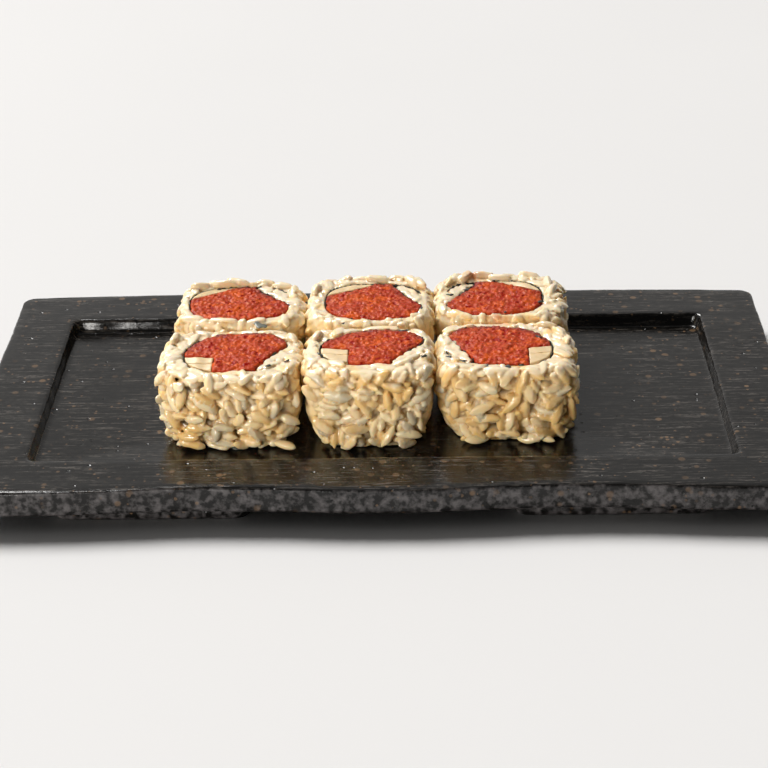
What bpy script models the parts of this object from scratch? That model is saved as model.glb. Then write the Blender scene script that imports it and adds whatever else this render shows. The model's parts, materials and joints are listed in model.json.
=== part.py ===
"""Six pieces of inside-out roll, standing in two rows of three on a rectangular stoneware plate.

Sizes are in millimetres here and become metres where a mesh is made. +X runs along the plate, +Y
away from the viewer and +Z up. The origin is on the table, under the middle of the plate.
"""
import math
import random
from collections import namedtuple

import bmesh
import bpy
from mathutils import Vector

MM = 0.001
GAP = 0.3  # the air between two pieces that touch

# Plate: a slab with a sunk well, on two broad feet
RIM_HALF_X = 131.9
RIM_HALF_Y = 70.7
RIM_CORNER = 4.0
BACK_SWELL = 2.2     # how far the back edge stands out between its corners
FRONT_RIPPLE = 1.2   # how far the front edge wanders, as hand-cut clay does
FRONT_WAVE = 116.0   # and the length of one such wave
SLAB_THICKNESS = 8.6
FOOT_HEIGHT = 5.4
RIM_Z = FOOT_HEIGHT + SLAB_THICKNESS
WELL_HALF_X = 111.0
WELL_HALF_Y = 50.8
WELL_CORNER = 3.0
WELL_DEPTH = 4.5
FLOOR_Z = RIM_Z - WELL_DEPTH
FOOT_NEAR_X = 40.5
FOOT_FAR_X = 102.0
FOOT_HALF_Y = 65.0
FOOT_CORNER = 5.0
FOOT_SINK = 1.0     # how far the foot's top runs up into the slab

# Each profile is (inset from the outline, height), run from underneath over the rim into the well
FLANK_PROFILE = ((0.7, FOOT_HEIGHT), (0.2, FOOT_HEIGHT + 0.3), (0.0, FOOT_HEIGHT + 1.0),
                 (0.0, RIM_Z - 1.3), (0.4, RIM_Z - 0.4), (1.4, RIM_Z))
WELL_PROFILE = ((-0.8, RIM_Z), (-0.1, RIM_Z - 0.5), (0.2, RIM_Z - 1.4), (0.9, FLOOR_Z + 1.2),
                (1.5, FLOOR_Z + 0.3), (2.6, FLOOR_Z))
FOOT_PROFILE = ((1.2, 0.0), (0.3, 0.5), (0.0, 1.5), (0.0, FOOT_HEIGHT + FOOT_SINK))
PLATE_SHARP_ANGLE = 32.0  # degrees past which an edge of the plate is shaded as a crease

# What every roll shares
BASE_Z = FLOOR_Z + GAP
RICE_POWER = 4.0         # how square the rice's outline is: 2 is an oval
GRAIN_PROUD = 1.4        # how far the fused grains stand out of the core
FOOT_TUCK_X = 4.4        # how far the rice draws in at the bottom, on its ends
FOOT_TUCK_Y = 1.2        # and on its long sides
FOOT_SHARE = 0.42        # share of the height over which it does
BROW = 0.9               # how far it draws in again at the cut
BROW_SHARE = 0.12
BUMP_HEIGHT = 2.4        # how far grains stand up past the cut
NORI_THICKNESS = 0.5
NORI_POWER = 2.8
SHOULDER_AT = 145.0      # degrees round the filling where it slopes off, behind the batons
SHOULDER_SPREAD = 26.0
POCKET_START = 297.0     # degrees round the filling where the sheet's inner end lies
POCKET_END = 372.0       # and where the rice tucked in behind it runs out
POCKET_DEPTH = 5.0
INNER_END_DEPTH = 1.3
POCKET_TIP = 0.08        # share of the pocket that the two layers close up
END_CLEARANCE = 1.2      # degrees left free past the sheet's outer end
OUTER_END = 0.55         # share of the pocket that the sheet's outer end covers
TUNA_CROWN = 0.5         # how far the minced tuna swells out of the cut
CROWN_SHARE = 0.86       # size of the crown's flat top, as a share of the filling

CUT_SPARE = 2.0          # how far a cutting body stands past what it cuts
CORE_SIDES = 24
CORE_LEVELS = (0.0, 0.14, 0.4, 0.88, 1.0)  # share of the roll's height
WALL_SAMPLES = 240

# Cooked short grains
GRAIN_LENGTH = 8.4
GRAIN_WIDTH = 3.3
GRAIN_HEIGHT = 2.9
GRAIN_SIDES = 5
GRAIN_RINGS = ((-0.66, 0.76), (0.0, 1.0), (0.66, 0.76))  # share of half length, share of girth
GRAIN_SPACING = 11.4
GRAIN_ROWS = (0.10, 0.31, 0.52, 0.73, 0.97)               # share of the roll's height
GRAIN_BEDDING = 0.15      # how deep a grain's middle lies in the core
GRAIN_LEAN = 75.0         # most degrees that a grain leans from lying level
GRAIN_STRAY = (1.2, 0.9)  # how far it strays along the wall and up
GRAIN_SCALES = (0.9, 1.06)
NEIGHBOUR_FACING = 0.62   # how squarely a wall faces a neighbour before it gets no grains
RICE_SHARP_ANGLE = 50.0

# Plain colours of the solids: base colour, roughness
STONEWARE = ((0.022, 0.020, 0.019), 0.42)
RICE = ((0.72, 0.58, 0.36), 0.35)
NORI = ((0.010, 0.014, 0.012), 0.40)
TUNA = ((0.56, 0.085, 0.045), 0.38)
BATON = ((0.86, 0.70, 0.38), 0.40)

Roll = namedtuple("Roll", "name left right front back top filling turn shoulder flip_x flip_y "
                          "open_sides planks seed")
Filling = namedtuple("Filling", "x y half_x half_y")
Plank = namedtuple("Plank", "name x y size_x size_y turn")

ROLLS = (
    Roll("back_left", -69.2, -26.4, -0.4, 34.6, 36.0, Filling(-48.2, 16.4, 16.9, 12.8), 4.5, 0.8, 1, -1,
         ("left", "back"), (Plank("baton", -60.0, 27.4, 22.0, 8.0, 30.0),), 11),
    Roll("back_middle", -25.8, 16.5, -2.4, 36.0, 36.6, Filling(-3.2, 15.4, 16.4, 13.6), -1.6, 0.8, 1, -1,
         ("back",), (Plank("baton", -14.6, 27.4, 20.0, 9.0, 27.0),), 12),
    Roll("back_right", 17.1, 61.4, 3.0, 38.8, 36.0, Filling(37.3, 18.7, 16.4, 12.9), 3.0, 0.8, -1, -1,
         ("right", "back"), (Plank("baton", 49.0, 30.0, 21.0, 8.0, -28.0),), 13),
    Roll("front_left", -71.2, -25.6, -39.2, -1.1, 35.2, Filling(-46.9, -18.8, 16.8, 13.4), 4.0, 2.2, 1, 1,
         ("left", "front"), (Plank("baton_upper", -59.0, -24.9, 10.8, 4.3, -3.0),
                             Plank("baton_lower", -59.0, -30.6, 10.8, 6.5, -3.0)), 14),
    Roll("front_middle", -25.0, 16.5, -40.1, -3.1, 36.7, Filling(-3.0, -19.2, 17.1, 11.9), 1.5, 2.6, 1, 1,
         ("front",), (Plank("baton_upper", -16.0, -22.6, 11.0, 3.6, -7.0),
                      Plank("baton_lower", -16.0, -27.8, 11.0, 6.2, -7.0)), 15),
    Roll("front_right", 17.1, 62.0, -36.8, 2.3, 35.1, Filling(37.8, -15.8, 17.5, 13.5), -9.0, 2.2, -1, 1,
         ("right", "front"), (Plank("baton_upper", 51.6, -19.8, 10.0, 4.2, 14.0),
                              Plank("baton_lower", 51.6, -25.4, 10.0, 6.4, 14.0)), 16),
)


def clear_scene():
    for item in list(bpy.data.objects):
        bpy.data.objects.remove(item, do_unlink=True)


def make_material(name, finish):
    colour, roughness = finish
    material = bpy.data.materials.new(name)
    material.use_nodes = True
    shader = material.node_tree.nodes["Principled BSDF"]
    shader.inputs["Base Color"].default_value = (*colour, 1.0)
    shader.inputs["Roughness"].default_value = roughness
    shader.inputs["Metallic"].default_value = 0.0
    return material


def make_object(name, mesh_builder, finish=None):
    """Turn a bmesh in millimetres into a named object in metres."""
    bmesh.ops.recalc_face_normals(mesh_builder, faces=mesh_builder.faces)
    bmesh.ops.scale(mesh_builder, vec=(MM, MM, MM), verts=mesh_builder.verts)
    mesh = bpy.data.meshes.new(name)
    mesh_builder.to_mesh(mesh)
    mesh_builder.free()
    item = bpy.data.objects.new(name, mesh)
    bpy.context.scene.collection.objects.link(item)
    if finish:
        mesh.materials.append(make_material(name, finish))
    return item


def shade_round(item, sharp_angle):
    item.data.shade_smooth()
    item.data.set_sharp_from_angle(angle=math.radians(sharp_angle))


def stack_loops(loops):
    """A closed body from loops of equal length, bridged in order and capped at both ends."""
    builder = bmesh.new()
    rings = [[builder.verts.new(point) for point in loop] for loop in loops]
    count = len(rings[0])
    for lower, upper in zip(rings, rings[1:]):
        for i in range(count):
            j = (i + 1) % count
            builder.faces.new((lower[i], lower[j], upper[j], upper[i]))
    builder.faces.new(list(reversed(rings[0])))
    builder.faces.new(rings[-1])
    return builder


def prism(outline, low, high):
    return stack_loops([[(x, y, z) for x, y in outline] for z in (low, high)])


def apply_boolean(item, operation, other, solver="EXACT"):
    """Boolean with an object or a whole collection, applied; what it used is removed."""
    modifier = item.modifiers.new(operation.lower(), "BOOLEAN")
    modifier.operation = operation
    modifier.solver = solver
    if isinstance(other, bpy.types.Collection):
        modifier.operand_type = "COLLECTION"
        modifier.collection = other
        used = list(other.objects)
    else:
        modifier.object = other
        used = [other]
    bpy.context.view_layer.update()
    result = bpy.data.meshes.new_from_object(item.evaluated_get(bpy.context.evaluated_depsgraph_get()))
    item.modifiers.clear()
    item.data = result
    for spent in used:
        bpy.data.objects.remove(spent, do_unlink=True)
    if isinstance(other, bpy.types.Collection):
        bpy.data.collections.remove(other)


def keep_main_shell(item):
    """Keep the outer skin alone, so sealed hollows are filled and loose scraps dropped."""
    builder = bmesh.new()
    builder.from_mesh(item.data)
    bmesh.ops.remove_doubles(builder, verts=builder.verts, dist=1e-6)
    unseen = set(builder.faces)
    shells = []
    while unseen:
        shell = {unseen.pop()}
        front = list(shell)
        while front:
            face = front.pop()
            for edge in face.edges:
                for other in edge.link_faces:
                    if other in unseen:
                        unseen.remove(other)
                        shell.add(other)
                        front.append(other)
        shells.append(shell)
    largest = max(shells, key=lambda faces: sum(face.calc_area() for face in faces))
    spare = [face for shell in shells if shell is not largest for face in shell]
    bmesh.ops.delete(builder, geom=spare, context="FACES")
    builder.to_mesh(item.data)
    builder.free()


def long_edge_push(x, y):
    """How far a point of the plate's long edges stands outside the plain rectangle."""
    along = x / RIM_HALF_X
    if y > 0:
        return BACK_SWELL * (1.0 - along ** 4)
    return FRONT_RIPPLE * math.cos(2 * math.pi * x / FRONT_WAVE) * (1.0 + 0.3 * along)


def plate_outline(half_x, half_y, corner, uneven=False, side_steps=(9, 3), corner_steps=3):
    """Rounded rectangle, anticlockwise, with the hand-made run of the plate's edges if uneven."""
    middle_x = half_x - corner
    middle_y = half_y - corner
    points = []
    for quarter, (sign_x, sign_y) in enumerate(((1, 1), (-1, 1), (-1, -1), (1, -1))):
        for step in range(corner_steps + 1):
            angle = math.radians(90 * (quarter + step / corner_steps))
            points.append((sign_x * middle_x + corner * math.cos(angle),
                           sign_y * middle_y + corner * math.sin(angle)))
        steps = side_steps[quarter % 2]
        next_x, next_y = ((-1, 1), (-1, -1), (1, -1), (1, 1))[quarter]
        start = points[-1]
        angle = math.radians(90 * (quarter + 1))
        end = (next_x * middle_x + corner * math.cos(angle), next_y * middle_y + corner * math.sin(angle))
        for step in range(1, steps):
            share = step / steps
            points.append((start[0] + (end[0] - start[0]) * share, start[1] + (end[1] - start[1]) * share))
    if uneven:
        points = [(x, y * (1.0 + long_edge_push(x, y) / half_y)) for x, y in points]
    return points


def make_plate():
    loops = []
    for inset, z in FLANK_PROFILE:
        outline = plate_outline(RIM_HALF_X - inset, RIM_HALF_Y - inset, RIM_CORNER, uneven=True)
        loops.append([(x, y, z) for x, y in outline])
    for inset, z in WELL_PROFILE:
        outline = plate_outline(WELL_HALF_X - inset, WELL_HALF_Y - inset, WELL_CORNER)
        loops.append([(x, y, z) for x, y in outline])
    plate = make_object("plate", stack_loops(loops), STONEWARE)
    for side in (-1, 1):
        middle = side * (FOOT_NEAR_X + FOOT_FAR_X) / 2
        half = (FOOT_FAR_X - FOOT_NEAR_X) / 2
        loops = []
        for inset, z in FOOT_PROFILE:
            outline = plate_outline(half - inset, FOOT_HALF_Y - inset, FOOT_CORNER - inset,
                                    side_steps=(2, 2))
            loops.append([(x + middle, y, z) for x, y in outline])
        apply_boolean(plate, "UNION", make_object("foot", stack_loops(loops)))
    keep_main_shell(plate)
    shade_round(plate, PLATE_SHARP_ANGLE)


def oval_radius(half_x, half_y, power, angle):
    across = (abs(math.cos(angle)) / half_x) ** power
    away = (abs(math.sin(angle)) / half_y) ** power
    return (across + away) ** (-1 / power)


def pocket_depth(share):
    """How far the sheet's inner end dips into the filling, along the pocket."""
    return INNER_END_DEPTH * (1 - share) + POCKET_DEPTH * math.sin(math.pi * share)


def section_point(roll, degrees, offset, dent=0.0):
    """A point of the roll's section: the nori's middle line, moved out by offset and in by dent."""
    angle = math.radians(degrees)
    filling = roll.filling
    radius = oval_radius(filling.half_x + offset, filling.half_y + offset, NORI_POWER, angle) - dent
    past_shoulder = (degrees - SHOULDER_AT + 180) % 360 - 180
    radius -= roll.shoulder * math.exp(-(past_shoulder / SHOULDER_SPREAD) ** 2)
    x = roll.flip_x * radius * math.cos(angle)
    y = roll.flip_y * radius * math.sin(angle)
    turn = math.radians(roll.turn)
    return (filling.x + x * math.cos(turn) - y * math.sin(turn),
            filling.y + x * math.sin(turn) + y * math.cos(turn))


def degrees_between(first, last, step):
    count = max(2, round(abs(last - first) / step))
    return [first + (last - first) * i / count for i in range(count + 1)]


def pocket_share(degrees):
    return (degrees - POCKET_START) / (POCKET_END - POCKET_START)


def sheet_side(roll, offset, first, last, step=14.0):
    """One side of the nori, past the pocket: the outer layer of the sheet."""
    return [section_point(roll, d, offset) for d in degrees_between(first, last, step)]


def inner_side(roll, offset, first, last, step=12.5):
    """One side of the nori inside the pocket: the sheet's inner end."""
    return [section_point(roll, d, offset, pocket_depth(pocket_share(d)))
            for d in degrees_between(first, last, step)]


def nori_outline(roll):
    """The sheet as one ribbon: inner end, once round the filling, outer end over the pocket."""
    half = NORI_THICKNESS / 2
    last = POCKET_START + 360 + OUTER_END * (POCKET_END - POCKET_START)
    outside, inside = (inner_side(roll, offset, POCKET_START, POCKET_END)
                       + sheet_side(roll, offset, POCKET_END, last)[1:] for offset in (half, -half))
    return outside + list(reversed(inside))


def hole_outline(roll):
    """What the rice leaves free: the filling and the sheet, with the pocket's rice left standing."""
    clear = NORI_THICKNESS / 2 + GAP
    span = POCKET_END - POCKET_START
    tip = POCKET_START + POCKET_TIP * span
    outer_end = POCKET_START + OUTER_END * span + END_CLEARANCE
    ring = sheet_side(roll, clear, POCKET_END, outer_end + 360)
    back = sheet_side(roll, -clear, outer_end, tip)
    dip = inner_side(roll, clear, tip, POCKET_END)
    return ring + back + dip[:-1]


def filling_outline(roll):
    clear = -(NORI_THICKNESS / 2 + GAP)
    dip = inner_side(roll, clear, POCKET_START, POCKET_END)
    ring = sheet_side(roll, clear, POCKET_END, POCKET_START + 360)
    return dip[:-1] + ring[:-1]


def turned_box(plank, low, high, grow=0.0):
    turn = math.radians(plank.turn)
    corners = []
    for sign_x, sign_y in ((-1, -1), (1, -1), (1, 1), (-1, 1)):
        x = sign_x * (plank.size_x / 2 + grow)
        y = sign_y * (plank.size_y / 2 + grow)
        corners.append((plank.x + x * math.cos(turn) - y * math.sin(turn),
                        plank.y + x * math.sin(turn) + y * math.cos(turn)))
    return prism(corners, low, high)


def make_filling(roll):
    """Minced tuna filling the nori, less the room that the batons take."""
    outline = filling_outline(roll)
    middle = roll.filling
    shrunk = [(middle.x + (x - middle.x) * CROWN_SHARE, middle.y + (y - middle.y) * CROWN_SHARE)
              for x, y in outline]
    loops = [[(x, y, BASE_Z) for x, y in outline], [(x, y, roll.top) for x, y in outline],
             [(x, y, roll.top + TUNA_CROWN) for x, y in shrunk]]
    tuna = make_object("tuna_" + roll.name, stack_loops(loops), TUNA)
    for plank in roll.planks:
        baton = make_object(f"{plank.name}_{roll.name}", prism(outline, BASE_Z, roll.top), BATON)
        box = make_object("plank_room", turned_box(plank, BASE_Z - CUT_SPARE, roll.top + CUT_SPARE))
        apply_boolean(baton, "INTERSECT", box)
        keep_main_shell(baton)
        room = make_object("plank_room",
                           turned_box(plank, BASE_Z - CUT_SPARE, roll.top + CUT_SPARE, GAP))
        apply_boolean(tuna, "DIFFERENCE", room)
    keep_main_shell(tuna)


def make_nori(roll):
    make_object("nori_" + roll.name, prism(nori_outline(roll), BASE_Z, roll.top), NORI)


def rice_size(roll):
    """The core's middle and half sizes: short of the full size only on the sides with grains."""
    spare = {side: GRAIN_PROUD if side in roll.open_sides else 0.0
             for side in ("left", "right", "front", "back")}
    left = roll.left + spare["left"]
    right = roll.right - spare["right"]
    front = roll.front + spare["front"]
    back = roll.back - spare["back"]
    return ((left + right) / 2, (front + back) / 2), (right - left) / 2, (back - front) / 2


def rice_inset(roll, z):
    """How far the rice draws in along X and Y: towards the bottom, and a little at the cut."""
    height = (z - BASE_Z) / (roll.top - BASE_Z)
    foot = max(0.0, 1 - height / FOOT_SHARE) ** 2
    brow = BROW * max(0.0, 1 - (1 - height) / BROW_SHARE) ** 2
    return FOOT_TUCK_X * foot + brow, FOOT_TUCK_Y * foot + brow


def fine_wall(roll, z):
    """The core's outline at height z, in many short steps."""
    (centre_x, centre_y), half_x, half_y = rice_size(roll)
    inset_x, inset_y = rice_inset(roll, z)
    outline = []
    for i in range(WALL_SAMPLES):
        angle = 2 * math.pi * i / WALL_SAMPLES
        radius = oval_radius(half_x - inset_x, half_y - inset_y, RICE_POWER, angle)
        outline.append(Vector((centre_x + radius * math.cos(angle), centre_y + radius * math.sin(angle))))
    return outline


def wall_length(roll, z):
    outline = fine_wall(roll, z)
    return sum((outline[i] - outline[i - 1]).length for i in range(WALL_SAMPLES))


def rice_wall(roll, z, count):
    """Points evenly spaced along the core's outline at height z, each with its outward direction."""
    outline = fine_wall(roll, z)
    spacing = wall_length(roll, z) / count
    wall = []
    travelled = 0.0
    for i in range(WALL_SAMPLES):
        step = outline[(i + 1) % WALL_SAMPLES] - outline[i]
        while len(wall) < count and len(wall) * spacing < travelled + step.length:
            along = step.normalized()
            point = outline[i] + along * (len(wall) * spacing - travelled)
            wall.append((point, Vector((along.y, -along.x))))
        travelled += step.length
    return wall


def rice_core(roll):
    levels = [BASE_Z + share * (roll.top - BASE_Z) for share in CORE_LEVELS]
    loops = [[(*point, z) for point, _ in rice_wall(roll, z, CORE_SIDES)] for z in levels]
    return make_object("rice_" + roll.name, stack_loops(loops), RICE)


def grain_mesh(centre, along, out, scale):
    """A plump spindle with few sides, lying along one direction and facing out another."""
    side = out.cross(along).normalized()
    builder = bmesh.new()
    half = GRAIN_LENGTH * scale / 2
    tips = [builder.verts.new(centre + along * half * sign) for sign in (-1, 1)]
    rings = []
    for share, girth in GRAIN_RINGS:
        ring = []
        for i in range(GRAIN_SIDES):
            angle = 2 * math.pi * (i + 0.25) / GRAIN_SIDES
            offset = side * math.cos(angle) * GRAIN_WIDTH / 2 + out * math.sin(angle) * GRAIN_HEIGHT / 2
            ring.append(builder.verts.new(centre + along * half * share + offset * girth))
        rings.append(ring)
    for i in range(GRAIN_SIDES):
        j = (i + 1) % GRAIN_SIDES
        builder.faces.new((tips[0], rings[0][j], rings[0][i]))
        builder.faces.new((tips[1], rings[-1][i], rings[-1][j]))
        for first, second in zip(rings, rings[1:]):
            builder.faces.new((first[i], first[j], second[j]))
            builder.faces.new((first[i], second[j], second[i]))
    return builder


def push_inside(builder, roll):
    """Slide a grain until it lies within its own roll's room, clear of the neighbours and the plate."""
    lowest = Vector(min(vert.co[axis] for vert in builder.verts) for axis in range(3))
    highest = Vector(max(vert.co[axis] for vert in builder.verts) for axis in range(3))
    room_low = Vector((roll.left, roll.front, BASE_Z))
    room_high = Vector((roll.right, roll.back, roll.top + BUMP_HEIGHT))
    shift = Vector(max(0.0, room_low[axis] - lowest[axis]) - max(0.0, highest[axis] - room_high[axis])
                   for axis in range(3))
    bmesh.ops.translate(builder, vec=shift, verts=builder.verts)


def faces_neighbour(roll, out):
    facing = {"left": -out.x, "right": out.x, "front": -out.y, "back": out.y}
    return any(amount > NEIGHBOUR_FACING
               for side, amount in facing.items() if side not in roll.open_sides)


def make_rice(roll):
    """The ring of rice with its grains, and the hole for what it wraps."""
    rng = random.Random(roll.seed)
    core = rice_core(roll)
    grains = bpy.data.collections.new("grains_" + roll.name)
    bpy.context.scene.collection.children.link(grains)
    for row, share in enumerate(GRAIN_ROWS):
        z = BASE_Z + share * (roll.top - BASE_Z)
        count = round(wall_length(roll, z) / GRAIN_SPACING)
        wall = rice_wall(roll, z, count * 2)
        for column in range(count):
            point, out = wall[2 * column + row % 2]
            if faces_neighbour(roll, out):
                continue
            out = Vector((out.x, out.y, 0.0))
            sideways = Vector((-out.y, out.x, 0.0))
            lean = math.radians(rng.uniform(-GRAIN_LEAN, GRAIN_LEAN))
            along = (sideways * math.cos(lean) + Vector((0, 0, 1)) * math.sin(lean)).normalized()
            centre = Vector((point.x, point.y, z)) - out * GRAIN_BEDDING
            stray_side, stray_up = (rng.uniform(-stray, stray) for stray in GRAIN_STRAY)
            centre += sideways * stray_side + Vector((0, 0, stray_up))
            builder = grain_mesh(centre, along, out, rng.uniform(*GRAIN_SCALES))
            push_inside(builder, roll)
            grain = make_object("grain", builder)
            bpy.context.scene.collection.objects.unlink(grain)
            grains.objects.link(grain)
    apply_boolean(core, "UNION", grains)
    cut_top = roll.top + BUMP_HEIGHT + CUT_SPARE
    hole = make_object("hole", prism(hole_outline(roll), BASE_Z - CUT_SPARE, cut_top))
    apply_boolean(core, "DIFFERENCE", hole, "MANIFOLD")
    keep_main_shell(core)
    shade_round(core, RICE_SHARP_ANGLE)


def main():
    clear_scene()
    make_plate()
    for roll in ROLLS:
        make_rice(roll)
        make_nori(roll)
        make_filling(roll)


main()
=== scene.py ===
"""Six pieces of inside-out roll round minced tuna, on a stoneware plate: the finished look.

Lengths in this file are millimetres and become metres where a mesh is made. The panel's settings are
in metres, as Blender keeps them. +X runs along the plate, +Y away from the viewer and +Z up.
"""
import json
import math
from collections import namedtuple

import bpy
import numpy as np
from bpy.props import FloatProperty, FloatVectorProperty, IntProperty, PointerProperty
from mathutils import Matrix, Vector
from mathutils.kdtree import KDTree

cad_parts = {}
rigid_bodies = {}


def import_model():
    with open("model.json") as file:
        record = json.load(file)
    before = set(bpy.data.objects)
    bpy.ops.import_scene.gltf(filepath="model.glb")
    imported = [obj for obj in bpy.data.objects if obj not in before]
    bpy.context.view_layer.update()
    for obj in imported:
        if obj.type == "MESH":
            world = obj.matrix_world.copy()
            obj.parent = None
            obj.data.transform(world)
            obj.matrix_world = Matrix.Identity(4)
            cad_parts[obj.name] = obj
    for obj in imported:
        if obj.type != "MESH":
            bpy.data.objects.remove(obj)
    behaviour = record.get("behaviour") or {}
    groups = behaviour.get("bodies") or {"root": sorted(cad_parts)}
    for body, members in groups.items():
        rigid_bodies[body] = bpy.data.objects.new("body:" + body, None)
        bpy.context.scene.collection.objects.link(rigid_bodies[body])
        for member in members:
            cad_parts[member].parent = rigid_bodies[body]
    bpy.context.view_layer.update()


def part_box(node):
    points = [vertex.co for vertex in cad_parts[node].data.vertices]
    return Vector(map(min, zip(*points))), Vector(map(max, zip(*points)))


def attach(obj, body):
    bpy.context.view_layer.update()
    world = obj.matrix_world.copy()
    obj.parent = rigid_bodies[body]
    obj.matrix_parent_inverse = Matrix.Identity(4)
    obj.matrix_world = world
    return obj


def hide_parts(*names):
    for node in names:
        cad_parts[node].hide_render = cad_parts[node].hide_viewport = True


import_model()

bl_info = {
    "name": "Rice Roll Plate",
    "version": (1, 0, 0),
    "blender": (4, 5, 0),
    "location": "3D View > Sidebar > Rice Rolls",
    "description": "Dresses six pieces of inside-out roll and the stoneware plate under them",
    "category": "Object",
}

MM = 0.001
BODY = "root"

# The plate's solid, whose heights come from its box
PLATE_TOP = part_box("plate")[1][2]
RIM_HALF_X = 131.9
RIM_HALF_Y = 70.7
RIM_CORNER = 4.0
RIM_Z = PLATE_TOP / MM
BACK_SWELL = 2.2
FRONT_RIPPLE = 1.2
FRONT_WAVE = 116.0
WELL_HALF_X = 111.0
WELL_HALF_Y = 50.8
WELL_CORNER = 3.0
FLOOR_Z = RIM_Z - 4.5
SLAB_Z = 5.4
FOOT_NEAR_X = 40.5
FOOT_FAR_X = 102.0
FOOT_HALF_Y = 65.0
FOOT_CORNER = 5.0

# What every roll shares with its solid
BASE_Z = FLOOR_Z + 0.3
RICE_POWER = 4.0
FOOT_TUCK_X = 4.4
FOOT_TUCK_Y = 1.2
FOOT_SHARE = 0.42
BROW = 1.9
BROW_SHARE = 0.20
NORI_POWER = 2.8
SHOULDER_AT = 145.0
SHOULDER_SPREAD = 26.0
POCKET_START = 297.0
POCKET_END = 372.0
POCKET_SPAN = POCKET_END - POCKET_START
POCKET_DEPTH = 5.0
INNER_END_DEPTH = 1.3
POCKET_TIP = 0.08
OUTER_END = 0.55
TUNA_CROWN = 0.5
SMEAR_DEPTH = 1.6
SMEAR_REACH = 0.38

# A roll's edges and top, its filling, the filling's turn in degrees, how far the sheet's shoulder is
# pressed in, whether the section is mirrored, the sides that no neighbour hides, what lies in and on
# it, the seed of its unevenness, and how much darker its rice is soaked
Roll = namedtuple("Roll", "name left right front back top filling turn shoulder flip_x flip_y "
                          "open_sides planks crests seed soaked")
Filling = namedtuple("Filling", "x y half_x half_y")
Plank = namedtuple("Plank", "name x y size_x size_y turn end_slant")
Crest = namedtuple("Crest", "x y rise yaw")  # a grain that stands up past the cut

ROLLS = (
    Roll("back_left", -69.2, -26.4, -0.4, 34.6, 36.0, Filling(-48.2, 16.4, 16.9, 12.8), 4.5, 0.8, 1, -1,
         ("left", "back"), (Plank("baton", -60.0, 27.4, 22.0, 8.0, 30.0, 0.0),),
         (Crest(-55.0, 32.2, 0.1, 10), Crest(-49.5, 32.6, 0.2, -25), Crest(-41.0, 32.6, -0.4, 5),
          Crest(-34.0, 31.4, -0.3, -12), Crest(-62.0, 31.0, -0.6, 30), Crest(-28.9, 27.0, -0.5, 80)),
         11, 0.0),
    Roll("back_middle", -25.8, 16.5, -2.4, 36.0, 36.6, Filling(-3.2, 15.4, 16.4, 13.6), -1.6, 0.8, 1, -1,
         ("back",), (Plank("baton", -14.6, 27.4, 20.0, 9.0, 27.0, 0.0),),
         (Crest(-9.0, 33.8, -0.3, 4), Crest(-2.0, 34.0, -0.1, -8), Crest(5.2, 33.2, -0.6, 15),
          Crest(11.0, 31.6, 0.4, 75), Crest(13.6, 30.6, 0.1, 100), Crest(-18.5, 32.2, -0.9, 25),
          Crest(-23.4, 24.6, -0.5, 85)), 12, 0.0),
    Roll("back_right", 17.1, 61.4, 3.0, 38.8, 36.0, Filling(37.3, 18.7, 16.4, 12.9), 3.0, 0.8, -1, -1,
         ("right", "back"), (Plank("baton", 49.0, 30.0, 21.0, 8.0, -28.0, 0.0),),
         (Crest(20.0, 33.6, 0.2, 70), Crest(24.0, 35.6, 0.1, 20), Crest(27.6, 36.6, 0.5, 95),
          Crest(33.0, 36.8, 0.0, 5), Crest(40.5, 36.6, -0.2, -10), Crest(47.5, 36.0, -0.7, 8),
          Crest(57.6, 30.0, -0.6, -60), Crest(58.4, 24.0, -0.3, 85)), 13, 0.0),
    Roll("front_left", -71.2, -25.6, -39.2, -1.1, 35.2, Filling(-46.9, -18.8, 16.8, 13.4), 4.0, 2.2, 1, 1,
         ("left", "front"), (Plank("baton_upper", -59.0, -24.9, 10.8, 4.3, -3.0, -3.0),
                             Plank("baton_lower", -59.0, -30.6, 10.8, 6.5, -3.0, -3.0)),
         (Crest(-68.6, -8.0, -0.6, 85), Crest(-69.0, -16.5, -1.0, 95), Crest(-27.9, -8.0, -0.8, 80)),
         14, 0.0),
    Roll("front_middle", -25.0, 16.5, -40.1, -3.1, 36.7, Filling(-3.0, -19.2, 17.1, 11.9), 1.5, 2.6, 1, 1,
         ("front",), (Plank("baton_upper", -16.0, -22.6, 11.0, 3.6, -7.0, -7.0),
                      Plank("baton_lower", -16.0, -27.8, 11.0, 6.2, -7.0, -7.0)),
         (Crest(-22.6, -11.0, -0.7, 82), Crest(5.6, -31.8, -0.6, 24)), 15, 0.05),
    Roll("front_right", 17.1, 62.0, -36.8, 2.3, 35.1, Filling(37.8, -15.8, 17.5, 13.5), -9.0, 2.2, -1, 1,
         ("right", "front"), (Plank("baton_upper", 51.6, -19.8, 10.0, 4.2, 14.0, 14.0),
                              Plank("baton_lower", 51.6, -25.4, 10.0, 6.4, 14.0, 14.0)),
         (Crest(59.0, -6.0, -0.5, 75), Crest(59.8, -12.0, -0.7, 92), Crest(56.0, -1.0, -0.5, 35)),
         16, 0.22),
)


# Settings

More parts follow.
